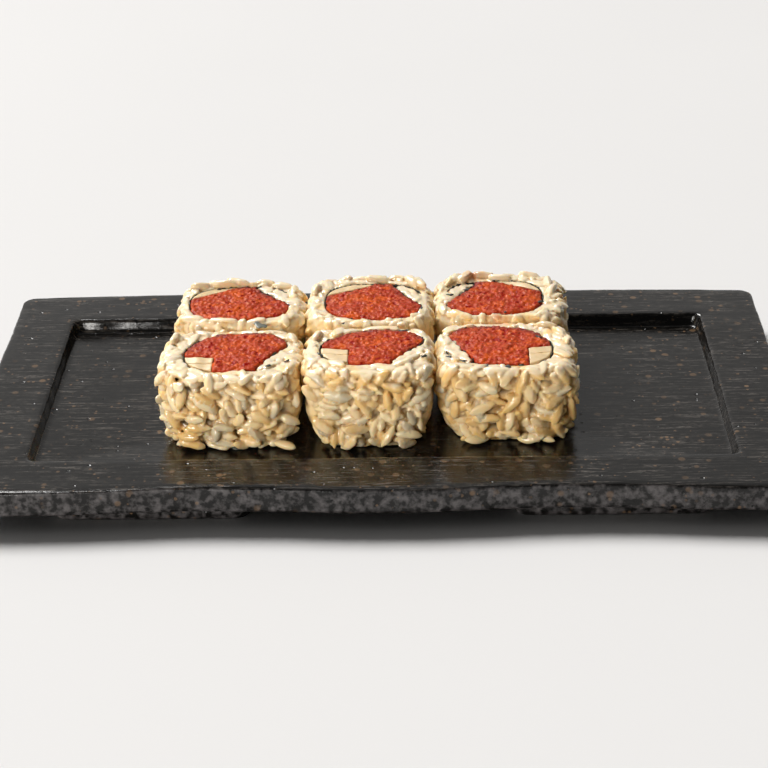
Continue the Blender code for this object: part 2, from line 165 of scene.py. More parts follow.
class PlateSettings(bpy.types.PropertyGroup):
    clay_colour: FloatVectorProperty(
        name="Clay", description="Main colour of the fired glaze", subtype="COLOR",
        default=(0.0045, 0.0041, 0.0037), min=0.0, max=1.0)
    streak_colour: FloatVectorProperty(
        name="Streaks", description="Colour of the fine streaks along the plate", subtype="COLOR",
        default=(0.150, 0.134, 0.118), min=0.0, max=1.0)
    speck_colour: FloatVectorProperty(
        name="Specks", description="Colour of the iron specks in the clay", subtype="COLOR",
        default=(0.17, 0.105, 0.058), min=0.0, max=1.0)
    roughness: FloatProperty(
        name="Roughness", description="How dull the glaze is where it runs smooth", subtype="FACTOR",
        default=0.12, min=0.0, max=1.0)
    edge_wander: FloatProperty(
        name="Edge wander", description="How far the hand-cut edges stray", unit="LENGTH",
        default=0.00022, min=0.0, max=0.001, precision=5)
    pit_depth: FloatProperty(
        name="Pit depth", description="Depth of the pits in the rough outer edge", unit="LENGTH",
        default=0.00028, min=0.0, max=0.001, precision=5)


class RiceSettings(bpy.types.PropertyGroup):
    grain_length: FloatProperty(
        name="Grain length", description="Length of a cooked grain", unit="LENGTH",
        default=0.0084, min=0.004, max=0.012, precision=4)
    grain_width: FloatProperty(
        name="Grain width", description="Width of a cooked grain", unit="LENGTH",
        default=0.0031, min=0.001, max=0.006, precision=4)
    grain_height: FloatProperty(
        name="Grain thickness", description="Thickness of a cooked grain", unit="LENGTH",
        default=0.0029, min=0.001, max=0.006, precision=4)
    fusing: FloatProperty(
        name="Fusing", description="Fineness to which touching grains run together", unit="LENGTH",
        default=0.00031, min=0.0002, max=0.002, precision=5)
    settling: IntProperty(
        name="Settling steps", description="Steps in which the grains push each other apart",
        default=30, min=0, max=200)
    tan_colour: FloatVectorProperty(
        name="Tan grains", description="Grains soaked with seasoning", subtype="COLOR",
        default=(0.80, 0.53, 0.205), min=0.0, max=1.0)
    cream_colour: FloatVectorProperty(
        name="Cream grains", description="Most of the grains", subtype="COLOR",
        default=(0.87, 0.66, 0.355), min=0.0, max=1.0)
    white_colour: FloatVectorProperty(
        name="White grains", description="The palest grains", subtype="COLOR",
        default=(0.88, 0.72, 0.45), min=0.0, max=1.0)
    cut_colour: FloatVectorProperty(
        name="Cut", description="Starchy white where the knife went through", subtype="COLOR",
        default=(0.79, 0.675, 0.48), min=0.0, max=1.0)
    clear_colour: FloatVectorProperty(
        name="Clear grains", description="Glassy, greyer grains", subtype="COLOR",
        default=(0.62, 0.53, 0.36), min=0.0, max=1.0)
    # Painted shade: the dark brown painted into the deepest holes between the grains
    gap_shade_colour: FloatVectorProperty(
        name="Gaps", description="Wet rice deep between the grains", subtype="COLOR",
        default=(0.030, 0.016, 0.006), min=0.0, max=1.0)
    # Painted shade: the golden tint painted into the creases where two grains touch
    seam_colour: FloatVectorProperty(
        name="Seams", description="Golden shade where two grains touch", subtype="COLOR",
        default=(0.56, 0.33, 0.115), min=0.0, max=1.0)
    sauce_colour: FloatVectorProperty(
        name="Sauce", description="Orange sauce rubbed off on the rice", subtype="COLOR",
        default=(0.80, 0.26, 0.05), min=0.0, max=1.0)


class FillingSettings(bpy.types.PropertyGroup):
    tuna_colour: FloatVectorProperty(
        name="Tuna", description="Main colour of the minced tuna", subtype="COLOR",
        default=(0.385, 0.033, 0.009), min=0.0, max=1.0)
    # Deep red used twice: as random blots of darker mince, and as painted shade in the hollows between the
    # lumps
    deep_red_and_shade_colour: FloatVectorProperty(
        name="Tuna pits", description="The deep red between its lumps", subtype="COLOR",
        default=(0.26, 0.004, 0.001), min=0.0, max=1.0)
    fat_colour: FloatVectorProperty(
        name="Tuna flecks", description="Pale flecks in the mince", subtype="COLOR",
        default=(0.70, 0.25, 0.13), min=0.0, max=1.0)
    orange_colour: FloatVectorProperty(
        name="Tuna dressing", description="Orange where the dressing pools", subtype="COLOR",
        default=(0.60, 0.095, 0.010), min=0.0, max=1.0)
    # Partly nori colour bled into the mince and partly painted shade along the sheet, most on the far side
    bleed_and_shade_colour: FloatVectorProperty(
        name="Tuna edge", description="Mince darkened along the sheet", subtype="COLOR",
        default=(0.13, 0.032, 0.033), min=0.0, max=1.0)
    lump_size: FloatProperty(
        name="Lump size", description="Width of a lump of mince", unit="LENGTH",
        default=0.0011, min=0.0005, max=0.006, precision=4)
    mince_fineness: FloatProperty(
        name="Mince fineness", description="Fineness of the mince's mesh", unit="LENGTH",
        default=0.00038, min=0.0002, max=0.002, precision=5)
    lump_height: FloatProperty(
        name="Lump height", description="How far the lumps stand up", unit="LENGTH",
        default=0.00050, min=0.0, max=0.002, precision=5)
    nori_colour: FloatVectorProperty(
        name="Nori", description="The seaweed sheet", subtype="COLOR",
        default=(0.008, 0.010, 0.007), min=0.0, max=1.0)
    nori_thickness: FloatProperty(
        name="Nori thickness", description="Thickness of the moist sheet", unit="LENGTH",
        default=0.00024, min=0.0001, max=0.001, precision=5)
    baton_colour: FloatVectorProperty(
        name="Batons", description="The pale batons beside the tuna", subtype="COLOR",
        default=(0.74, 0.57, 0.34), min=0.0, max=1.0)


class StageSettings(bpy.types.PropertyGroup):
    floor_colour: FloatVectorProperty(
        name="Floor", description="The pale floor", subtype="COLOR",
        default=(0.77, 0.765, 0.76), min=0.0, max=1.0)
    room_light: FloatProperty(
        name="Room light", description="Strength of the even light from behind", default=0.60, min=0.0)
    front_light: FloatProperty(
        name="Front light", description="Strength of the even light from the viewer's side", default=0.05,
        min=0.0)
    key_power: FloatProperty(
        name="Key light", description="Power of the softbox behind the plate's left end", unit="POWER",
        default=0.4, min=0.0)
    fill_power: FloatProperty(
        name="Fill light", description="Power of the low softbox on the viewer's side", unit="POWER",
        default=4.2, min=0.0)
    back_strength: FloatProperty(
        name="Back light", description="Strength of the broad light from high behind the plate",
        default=3.75, min=0.0)


# Shared arithmetic

def to_mm(metres):
    return metres / MM


def soft_noise(points, size, seed, waves=9):
    """Smooth unevenness, mostly from -1 to 1, whose swells are about size millimetres apart."""
    rng = np.random.default_rng(seed)
    total = np.zeros(points.shape[:-1])
    for _ in range(waves):
        direction = rng.normal(size=points.shape[-1])
        direction /= np.linalg.norm(direction)
        pitch = size * rng.uniform(0.7, 1.6)
        total += np.sin(points @ direction * (2 * math.pi / pitch) + rng.uniform(0, 2 * math.pi))
    return total / math.sqrt(waves)


def cell_domes(points, size, seed):
    """Domes on a jittered grid, from 1 at a cell's middle down to 0, and each cell's own number."""
    cells = points / size
    home = np.floor(cells)
    nearest = np.full(points.shape[0], 9.0)
    number = np.zeros(points.shape[0])
    for step_x in (-1, 0, 1):
        for step_y in (-1, 0, 1):
            cell = home + (step_x, step_y)
            mixed = np.sin(cell @ (127.1, 311.7) + seed) * 43758.5453
            other = np.sin(cell @ (269.5, 183.3) + seed * 1.7) * 24634.6345
            place = cell + np.stack((mixed % 1.0, other % 1.0), axis=-1)
            distance = np.linalg.norm(cells - place, axis=-1)
            closer = distance < nearest
            nearest = np.where(closer, distance, nearest)
            number = np.where(closer, (mixed + other) % 1.0, number)
    return np.clip(1.0 - nearest ** 2, 0.0, 1.0), number


def oval_radius(half_x, half_y, power, angle):
    return ((np.abs(np.cos(angle)) / half_x) ** power
            + (np.abs(np.sin(angle)) / half_y) ** power) ** (-1 / power)


def turned(points, degrees):
    angle = math.radians(degrees)
    x, y = points[..., 0], points[..., 1]
    return np.stack((x * math.cos(angle) - y * math.sin(angle),
                     x * math.sin(angle) + y * math.cos(angle)), axis=-1)


# The roll's section, as its solids have it

def sheet_radius(roll, degrees, offset):
    """From the filling's middle to the nori's middle line, moved out by offset."""
    angle = np.radians(degrees)
    radius = oval_radius(roll.filling.half_x + offset, roll.filling.half_y + offset, NORI_POWER, angle)
    past_shoulder = (degrees - SHOULDER_AT + 180) % 360 - 180
    return radius - roll.shoulder * np.exp(-(past_shoulder / SHOULDER_SPREAD) ** 2)


def pocket_share(degrees):
    return (degrees - POCKET_START) / POCKET_SPAN


def pocket_dent(degrees):
    share = pocket_share(degrees)
    return INNER_END_DEPTH * (1 - share) + POCKET_DEPTH * np.sin(math.pi * share)


def section_points(roll, degrees, radius):
    angle = np.radians(degrees)
    spots = np.stack((roll.flip_x * radius * np.cos(angle), roll.flip_y * radius * np.sin(angle)), axis=-1)
    return turned(spots, roll.turn) + (roll.filling.x, roll.filling.y)


def section_place(roll, spots):
    """The other way about: degrees round the filling, and distance from its middle."""
    local = turned(spots[..., :2] - (roll.filling.x, roll.filling.y), -roll.turn)
    x = local[..., 0] * roll.flip_x
    y = local[..., 1] * roll.flip_y
    return np.degrees(np.arctan2(y, x)) % 360, np.hypot(x, y)


def in_pocket(degrees, first, last=POCKET_END):
    """Degrees counted on past a full turn, and whether they lie between first and last."""
    counted = np.where(degrees < POCKET_START - 90, degrees + 360, degrees)
    return counted, (counted >= first) & (counted <= last)


def hole_radius(roll, degrees, clear):
    """From the filling's middle to the rice: the sheet, or its inner end where nothing covers that."""
    counted, dented = in_pocket(degrees, POCKET_START + OUTER_END * POCKET_SPAN)
    return sheet_radius(roll, degrees, clear) - np.where(dented, pocket_dent(counted), 0.0)


def filling_radius(roll, degrees, clear):
    counted, dented = in_pocket(degrees, POCKET_START)
    return sheet_radius(roll, degrees, -clear) - np.where(dented, pocket_dent(counted), 0.0)


def sheet_hidden(roll, degrees):
    """Where the knife smeared rice and tuna over the sheet's edge, from 0 to 1."""
    angle = np.radians(degrees)
    toward_viewer = -roll.flip_y * np.sin(angle)
    if "front" in roll.open_sides:
        toward_viewer = np.abs(toward_viewer) - 0.15
    round_sheet = np.stack((np.cos(angle), np.sin(angle)), axis=-1) * roll.filling.half_x
    uneven = 0.34 * soft_noise(round_sheet, 8.0, roll.seed + 4)
    return np.clip((toward_viewer + uneven - 0.15) / 0.3, 0.0, 1.0)


def by_side(roll, shown, hidden):
    """One value for each side: of a side that shows, or of one against a neighbour."""
    return {side: shown if side in roll.open_sides else hidden
            for side in ("left", "right", "front", "back")}


def rice_inset(roll, z):
    height = (z - BASE_Z) / (roll.top - BASE_Z)
    foot = np.maximum(0.0, 1 - height / FOOT_SHARE) ** 2
    brow = BROW * np.maximum(0.0, 1 - (1 - height) / BROW_SHARE) ** 2
    return FOOT_TUCK_X * foot + brow, FOOT_TUCK_Y * foot + brow


def rice_box(roll, spare, shut_spare=0.0):
    """Middle and half sizes of the rice, made shorter by spare on its open sides."""
    short = by_side(roll, spare, shut_spare)
    left = roll.left + short["left"]
    right = roll.right - short["right"]
    front = roll.front + short["front"]
    back = roll.back - short["back"]
    return ((left + right) / 2, (front + back) / 2), ((right - left) / 2, (back - front) / 2)


def wall_depth(roll, spots, box):
    """How deep each spot lies inside the wall, and the way out of it there."""
    inset_x, inset_y = rice_inset(roll, np.minimum(spots[..., 2], roll.top))
    (middle_x, middle_y), (half_x, half_y) = box
    half_x = half_x - inset_x
    half_y = half_y - inset_y
    u = (spots[..., 0] - middle_x) / half_x
    v = (spots[..., 1] - middle_y) / half_y
    reach = np.maximum((np.abs(u) ** RICE_POWER + np.abs(v) ** RICE_POWER) ** (1 / RICE_POWER), 1e-3)
    slope_x = np.sign(u) * np.abs(u) ** (RICE_POWER - 1) / half_x / reach ** (RICE_POWER - 1)
    slope_y = np.sign(v) * np.abs(v) ** (RICE_POWER - 1) / half_y / reach ** (RICE_POWER - 1)
    steep = np.hypot(slope_x, slope_y)
    way = np.stack((slope_x / steep, slope_y / steep, np.zeros_like(steep)), axis=-1)
    return (1 - reach) / steep, way


# Meshes

def make_piece(name, verts, faces, materials, replaced=(), marks=None, face_materials=None):
    """A mesh in millimetres made into a piece in metres that rides on the plate's body."""
    mesh = bpy.data.meshes.new(name)
    mesh.from_pydata((np.asarray(verts) * MM).tolist(), [], faces)
    mesh.validate()
    for material in materials:
        mesh.materials.append(material)
    if face_materials is not None:
        mesh.polygons.foreach_set("material_index", np.asarray(face_materials, dtype=np.int32))
    for mark, values in (marks or {}).items():
        layer = mesh.attributes.new(mark, "FLOAT", "POINT")
        layer.data.foreach_set("value", np.asarray(values, dtype=np.float32))
    mesh.shade_smooth()
    mesh.update()
    piece = bpy.data.objects.new(name, mesh)
    bpy.context.scene.collection.objects.link(piece)
    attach(piece, BODY)
    if replaced:
        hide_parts(*replaced)
    return piece


def bridge(loops, closed_stack=False):
    """Verts and quads of rings of equal length bridged in order, the last to the first if closed."""
    count = len(loops[0])
    verts = np.concatenate(loops)
    faces = []
    pairs = len(loops) if closed_stack else len(loops) - 1
    for ring in range(pairs):
        lower = ring * count
        upper = (ring + 1) % len(loops) * count
        for i in range(count):
            j = (i + 1) % count
            faces.append((lower + i, lower + j, upper + j, upper + i))
    return verts, faces


def cap_end(verts, faces, first, count, height, facing_up):
    """Close a ring with a fan round its own middle."""
    middle = verts[first:first + count].mean(axis=0)
    middle[2] = height
    verts = np.vstack((verts, middle))
    centre = len(verts) - 1
    for i in range(count):
        j = (i + 1) % count
        a, b = first + i, first + j
        faces.append((a, b, centre) if facing_up else (b, a, centre))
    return verts, faces


def joined(parts):
    """Several (verts, faces) as one."""
    verts, faces = [], []
    offset = 0
    for part_verts, part_faces in parts:
        verts.append(part_verts)
        faces.extend(tuple(index + offset for index in face) for face in part_faces)
        offset += len(part_verts)
    return np.concatenate(verts), faces


def at_height(outline, z):
    return np.column_stack((outline, np.broadcast_to(z, len(outline))))


# Shader helpers and the effects that several finishes share

def add_node(tree, kind, inputs=None, **settings):
    """A node with its settings made and its inputs either linked or set."""
    made = tree.nodes.new(kind)
    for name, value in settings.items():
        setattr(made, name, value)
    for key, value in (inputs or {}).items():
        if isinstance(value, bpy.types.NodeSocket):
            tree.links.new(value, made.inputs[key])
        else:
            made.inputs[key].default_value = value
    return made


def maths(tree, operation, first, second):
    return add_node(tree, "ShaderNodeMath", {0: first, 1: second}, operation=operation).outputs[0]


def times(tree, first, second):
    return maths(tree, "MULTIPLY", first, second)


def plus(tree, first, second):
    return maths(tree, "ADD", first, second)


def noise(tree, place, scale, detail, roughness=0.5):
    return add_node(tree, "ShaderNodeTexNoise", {"Vector": place, "Scale": scale, "Detail": detail,
                                                 "Roughness": roughness}).outputs[0]


def spread(tree, value, low, high, new_low=0.0, new_high=1.0):
    """A value stretched from one range to another, held at both ends."""
    return add_node(tree, "ShaderNodeMapRange", {"Value": value, "From Min": low, "From Max": high,
                                                 "To Min": new_low, "To Max": new_high}).outputs[0]


def ranged(tree, share, low, high):
    """A share from 0 to 1 turned into a value from low to high."""
    return spread(tree, share, 0.0, 1.0, low, high)


def blend_colours(tree, share, first, second):
    """The first colour where the share is 0, the second where it is 1."""
    first, second = (colour if isinstance(colour, bpy.types.NodeSocket) else (*colour, 1.0)
                     for colour in (first, second))
    return add_node(tree, "ShaderNodeMix", {0: share, 6: first, 7: second}, data_type="RGBA").outputs[2]


def new_group(name, inputs, outputs):
    group = bpy.data.node_groups.new(name, "ShaderNodeTree")
    for label, kind, default in inputs:
        socket = group.interface.new_socket(name=label, in_out="INPUT", socket_type=kind)
        if default is not None:
            socket.default_value = default
    for label, kind in outputs:
        group.interface.new_socket(name=label, in_out="OUTPUT", socket_type=kind)
    return group, group.nodes.new("NodeGroupInput").outputs, group.nodes.new("NodeGroupOutput").inputs


def mottle_group():
    """Soft uneven shade at one scale, with a finer grain for the surface's height."""
    if "mottle" in bpy.data.node_groups:
        return bpy.data.node_groups["mottle"]
    group, given, result = new_group(
        "mottle",
        (("Place", "NodeSocketVector", None), ("Size", "NodeSocketFloat", 100.0),
         ("Fine", "NodeSocketFloat", 8.0)),
        (("Shade", "NodeSocketFloat"), ("Height", "NodeSocketFloat")))
    broad = noise(group, given["Place"], given["Size"], 3.0, 0.55)
    fine = noise(group, given["Place"], times(group, given["Size"], given["Fine"]), 2.0)
    group.links.new(spread(group, broad, 0.3, 0.7), result["Shade"])
    group.links.new(plus(group, broad, times(group, fine, 0.4)), result["Height"])
    return group


def speck_group():
    """Round specks of uneven size, a share of the cells of one scale."""
    if "specks" in bpy.data.node_groups:
        return bpy.data.node_groups["specks"]
    group, given, result = new_group(
        "specks",
        (("Place", "NodeSocketVector", None), ("Size", "NodeSocketFloat", 400.0),
         ("Share", "NodeSocketFloat", 0.3), ("Width", "NodeSocketFloat", 0.3)),
        (("Mask", "NodeSocketFloat"),))
    cells = add_node(group, "ShaderNodeTexVoronoi", {"Vector": given["Place"], "Scale": given["Size"]})
    chance = add_node(group, "ShaderNodeSeparateColor", {0: cells.outputs["Color"]})
    chosen = maths(group, "LESS_THAN", chance.outputs[0], given["Share"])
    width = times(group, given["Width"], plus(group, chance.outputs[1], 0.35))
    near = maths(group, "SUBTRACT", 1.0, maths(group, "DIVIDE", cells.outputs["Distance"], width))
    group.links.new(times(group, chosen, spread(group, near, 0.0, 0.35)), result["Mask"])
    return group


def mottled(tree, place, size, fine):
    """The mottle group's outputs, placed in a material."""
    inputs = {"Place": place, "Size": size, "Fine": fine}
    return add_node(tree, "ShaderNodeGroup", inputs, node_tree=mottle_group()).outputs


def specked(tree, place, size, share, width):
    """The speck group's mask, placed in a material."""
    inputs = {"Place": place, "Size": size, "Share": share, "Width": width}
    return add_node(tree, "ShaderNodeGroup", inputs, node_tree=speck_group()).outputs["Mask"]


def mark_value(tree, name):
    return add_node(tree, "ShaderNodeAttribute", attribute_name=name).outputs["Fac"]


def object_place(tree, stretch=None):
    place = add_node(tree, "ShaderNodeTexCoord").outputs["Object"]
    if stretch is None:
        return place
    return add_node(tree, "ShaderNodeMapping", {"Vector": place, "Scale": stretch}).outputs[0]


def start_material(name):
    material = bpy.data.materials.new(name)
    material.use_nodes = True
    return material, material.node_tree, material.node_tree.nodes["Principled BSDF"]


def set_finish(tree, shader, colour, roughness, height, bump_distance, bump_strength=1.0):
    tree.links.new(colour, shader.inputs["Base Color"])
    tree.links.new(roughness, shader.inputs["Roughness"])
    bump = add_node(tree, "ShaderNodeBump", {"Height": height, "Distance": bump_distance,
                                             "Strength": bump_strength})
    tree.links.new(bump.outputs[0], shader.inputs["Normal"])


def set_flesh(shader, weight, radius, scale):
    """Light that sinks in and spreads under the surface."""
    shader.inputs["Subsurface Weight"].default_value = weight
    shader.inputs["Subsurface Radius"].default_value = radius
    shader.inputs["Subsurface Scale"].default_value = scale


# What the panel leaves alone in the finishes: second colours, how many times the streaks and fibres
# repeat in a metre along each axis, and how far red, green and blue light spread under the surface
FLANK_GREY = (0.095, 0.088, 0.088)
# painted shade for the glaze's pits
PIT_SHADE = (0.004, 0.004, 0.004)
PALE_MINCE = (0.47, 0.086, 0.032)
NORI_SHEEN = (0.022, 0.026, 0.018)
SCRAP_DARK = (0.055, 0.070, 0.060)
SCRAP_PALE = (0.20, 0.21, 0.17)
FIBRE_SHADE = (0.63, 0.465, 0.25)
STREAK_STRETCH = (70.0, 1500.0, 700.0)
GLAZE_STRETCH = (500.0, 1100.0, 900.0)
FIBRE_STRETCH = (160.0, 2200.0, 500.0)
RICE_FLESH = (1.0, 0.68, 0.35)
TUNA_FLESH = (1.0, 0.28, 0.12)
BATON_FLESH = (1.0, 0.7, 0.3)
TONE_STOPS = (0.0, 0.35, 0.68, 1.0)     # tan, cream, white and clear grains
FLOOR_DIMMEST = 0.985


def glaze_material(settings):
    """Near-black iron glaze: fine streaks along the plate, iron specks, pits with painted shade in them,
    and a rougher flank.
    """
    material, tree, shader = start_material("iron_glaze")
    place = object_place(tree)
    streaks = noise(tree, object_place(tree, STREAK_STRETCH), 1.0, 4.0, 0.6)
    mottle = mottled(tree, place, 70.0, 14.0)
    grain = mottled(tree, place, 420.0, 5.0)
    specks = specked(tree, place, 260.0, 0.22, 0.30)
    small_specks = specked(tree, place, 620.0, 0.16, 0.34)
    pits = specked(tree, place, 330.0, 0.16, 0.22)
    flank = mark_value(tree, "flank")
    fine = noise(tree, object_place(tree, GLAZE_STRETCH), 1.0, 2.0)
    lit = times(tree, spread(tree, streaks, 0.48, 0.74), ranged(tree, mottle["Shade"], 0.15, 1.0))
    lit = times(tree, lit, spread(tree, fine, 0.35, 0.62))
    colour = blend_colours(tree, lit, settings.clay_colour, settings.streak_colour)
    flank_shade = blend_colours(tree, spread(tree, grain["Shade"], 0.3, 0.95), settings.clay_colour,
                                FLANK_GREY)
    colour = blend_colours(tree, flank, colour, flank_shade)
    rust = times(tree, maths(tree, "MAXIMUM", specks, small_specks),
                 spread(tree, mottle["Shade"], 0.2, 0.9, 0.12, 0.75))
    colour = blend_colours(tree, rust, colour, settings.speck_colour)
    # Painted shade: the pits, dented by the bump below, are darkened nearly to black
    colour = blend_colours(tree, pits, colour, PIT_SHADE)
    dull = plus(tree, settings.roughness, times(tree, lit, 0.14))
    dull = plus(tree, dull, times(tree, flank, 0.16))
    height = plus(tree, times(tree, streaks, 0.35),
                  times(tree, grain["Height"], ranged(tree, flank, 0.35, 1.6)))
    height = maths(tree, "SUBTRACT", height, times(tree, pits, 0.8))
    set_finish(tree, shader, colour, dull, height, 0.00016, 0.9)
    shader.inputs["IOR"].default_value = 1.43
    return material


def rice_material(settings):
    """Cooked rice: each grain its own tone, paler at the cut, painted golden shade in the creases and
    painted dark shade in the deepest gaps, and moist.
    """
    material, tree, shader = start_material("cooked_rice")
    mottle = mottled(tree, object_place(tree), 260.0, 6.0)
    tone = plus(tree, mark_value(tree, "tone"),
                times(tree, maths(tree, "SUBTRACT", mottle["Shade"], 0.5), 0.22))
    ramp = add_node(tree, "ShaderNodeValToRGB", {"Fac": tone})
    colours = (settings.tan_colour, settings.cream_colour, settings.white_colour, settings.clear_colour)
    while len(ramp.color_ramp.elements) < len(TONE_STOPS):
        ramp.color_ramp.elements.new(0.5)
    for element, place, colour in zip(ramp.color_ramp.elements, TONE_STOPS, colours):
        element.position = place
        element.color = (*colour, 1.0)
    colour = blend_colours(tree, times(tree, mark_value(tree, "cut"), 0.85), ramp.outputs[0],
                           settings.cut_colour)
    # Painted shade: golden tint in the creases between grains
    seam = times(tree, mark_value(tree, "seam"), ranged(tree, mottle["Shade"], 0.4, 0.85))
    colour = blend_colours(tree, seam, colour, settings.seam_colour)
    colour = blend_colours(tree, mark_value(tree, "sauce"), colour, settings.sauce_colour)
    # Painted shade in the deepest holes of the wall
    colour = blend_colours(tree, mark_value(tree, "deep"), colour, settings.gap_shade_colour)
    moist = ranged(tree, mottle["Shade"], 0.24, 0.46)
    set_finish(tree, shader, colour, moist, mottle["Height"], 0.00010, 0.6)
    set_flesh(shader, 0.6, RICE_FLESH, 0.0015)
    shader.inputs["IOR"].default_value = 1.36
    shader.inputs["Coat Weight"].default_value = 0.6
    shader.inputs["Coat Roughness"].default_value = 0.05
    return material


def tuna_material(settings):
    """Seasoned mince: glossy orange-red lumps, deep red blots, painted shade in the hollows between lumps,
    pale flecks, and a maroon edge that is partly nori colour bled in and partly painted shade.
    """
    material, tree, shader = start_material("minced_tuna")
    place = object_place(tree)
    mottle = mottled(tree, place, 620.0, 3.0)
    broad = mottled(tree, place, 230.0, 4.0)
    blots = noise(tree, place, 410.0, 2.0)
    flecks = specked(tree, place, 900.0, 0.20, 0.45)
    colour = blend_colours(tree, times(tree, mottle["Shade"], 0.7), settings.tuna_colour, PALE_MINCE)
    pooled = times(tree, spread(tree, broad["Shade"], 0.45, 0.85), 0.85)
    colour = blend_colours(tree, pooled, colour, settings.orange_colour)
    # Painted shade: the hollows between the raised lumps are darkened toward deep red
    sunk = maths(tree, "SUBTRACT", 1.0, mark_value(tree, "lump"))
    between = times(tree, spread(tree, sunk, 0.45, 0.95), 0.55)
    colour = blend_colours(tree, between, colour, settings.deep_red_and_shade_colour)
    colour = blend_colours(tree, spread(tree, blots, 0.585, 0.66), colour, settings.deep_red_and_shade_colour)
    paler = times(tree, flecks, spread(tree, mottle["Shade"], 0.3, 0.9, 0.1, 0.95))
    colour = blend_colours(tree, paler, colour, settings.fat_colour)
    # Maroon edge: nori colour bled in plus painted shade along the sheet
    colour = blend_colours(tree, mark_value(tree, "rim"), colour, settings.bleed_and_shade_colour)
    moist = ranged(tree, mottle["Shade"], 0.14, 0.50)
    set_finish(tree, shader, colour, moist, mottle["Height"], 0.00045, 0.95)
    set_flesh(shader, 0.15, TUNA_FLESH, 0.0011)
    shader.inputs["IOR"].default_value = 1.30
    shader.inputs["Specular IOR Level"].default_value = 0.12
    shader.inputs["Coat Weight"].default_value = 0.05
    shader.inputs["Coat Roughness"].default_value = 0.14
    return material


def nori_material(settings):
    """Moist seaweed, nearly black, with a fine crinkle."""
    material, tree, shader = start_material("seaweed")
    mottle = mottled(tree, object_place(tree), 500.0, 4.0)
    colour = blend_colours(tree, mottle["Shade"], settings.nori_colour, NORI_SHEEN)
    dull = ranged(tree, mottle["Shade"], 0.34, 0.6)
    set_finish(tree, shader, colour, dull, mottle["Height"], 0.00015, 0.9)
    return material


def scrap_material():
    """Grey-green scraps of sheet with rice starch on them."""
    material, tree, shader = start_material("starchy_scrap")
    mottle = mottled(tree, object_place(tree), 380.0, 5.0)
    colour = blend_colours(tree, mottle["Shade"], SCRAP_DARK, SCRAP_PALE)
    dull = ranged(tree, mottle["Shade"], 0.3, 0.5)
    set_finish(tree, shader, colour, dull, mottle["Height"], 0.0001, 0.6)
    return material


def baton_material(settings):
    """Pale yellow batons with fine fibres along them."""
    material, tree, shader = start_material("pale_baton")
    lines = noise(tree, object_place(tree, FIBRE_STRETCH), 1.0, 3.0)
    mottle = mottled(tree, object_place(tree), 300.0, 5.0)
    shade = plus(tree, times(tree, lines, 0.7), times(tree, mottle["Shade"], 0.3))
    colour = blend_colours(tree, spread(tree, shade, 0.25, 0.75), FIBRE_SHADE, settings.baton_colour)
    set_finish(tree, shader, colour, ranged(tree, lines, 0.25, 0.5), shade, 0.0001, 0.6)
    set_flesh(shader, 0.3, BATON_FLESH, 0.0015)
    return material


def floor_material(settings):
    """Matt pale board with the faintest unevenness."""
    material, tree, shader = start_material("pale_board")
    mottle = mottled(tree, object_place(tree), 3.0, 60.0)
    tinted = [channel * FLOOR_DIMMEST for channel in settings.floor_colour]
    colour = blend_colours(tree, mottle["Shade"], tinted, settings.floor_colour)
    dull = ranged(tree, mottle["Shade"], 0.55, 0.65)
    set_finish(tree, shader, colour, dull, mottle["Height"], 0.00002, 0.2)
    shader.inputs["Specular IOR Level"].default_value = 0.2
    return material


# Plate

LONG_STEPS = 150
SHORT_STEPS = 82
CORNER_STEPS = 8
RIM_RINGS = 8


def rounded_outline(half_x, half_y, corner):
    """Rounded rectangle, anticlockwise from the middle of its right-hand corner arc."""
    middle_x = half_x - corner
    middle_y = half_y - corner
    points = []
    for quarter, (sign_x, sign_y) in enumerate(((1, 1), (-1, 1), (-1, -1), (1, -1))):
        for step in range(CORNER_STEPS + 1):
            angle = math.radians(90 * (quarter + step / CORNER_STEPS))
            points.append((sign_x * middle_x + corner * math.cos(angle),
                           sign_y * middle_y + corner * math.sin(angle)))
        next_x, next_y = ((-1, 1), (-1, -1), (1, -1), (1, 1))[quarter]
        angle = math.radians(90 * (quarter + 1))
        start = np.array(points[-1])
        end = np.array((next_x * middle_x + corner * math.cos(angle),
                        next_y * middle_y + corner * math.sin(angle)))
        steps = (LONG_STEPS, SHORT_STEPS)[quarter % 2]
        points.extend(start + (end - start) * step / steps for step in range(1, steps))
    return np.array(points)


def plate_edge(inset):
    """The slab's outline with the long run of its hand-cut edges."""
    outline = rounded_outline(RIM_HALF_X - inset, RIM_HALF_Y - inset, RIM_CORNER)
    x, y = outline[:, 0], outline[:, 1]
    along = x / RIM_HALF_X
    swell = BACK_SWELL * (1 - along ** 4)
    ripple = FRONT_RIPPLE * np.cos(2 * math.pi * x / FRONT_WAVE) * (1 + 0.3 * along)
    outline[:, 1] = y * (1 + np.where(y > 0, swell, ripple) / (RIM_HALF_Y - inset))
    return outline


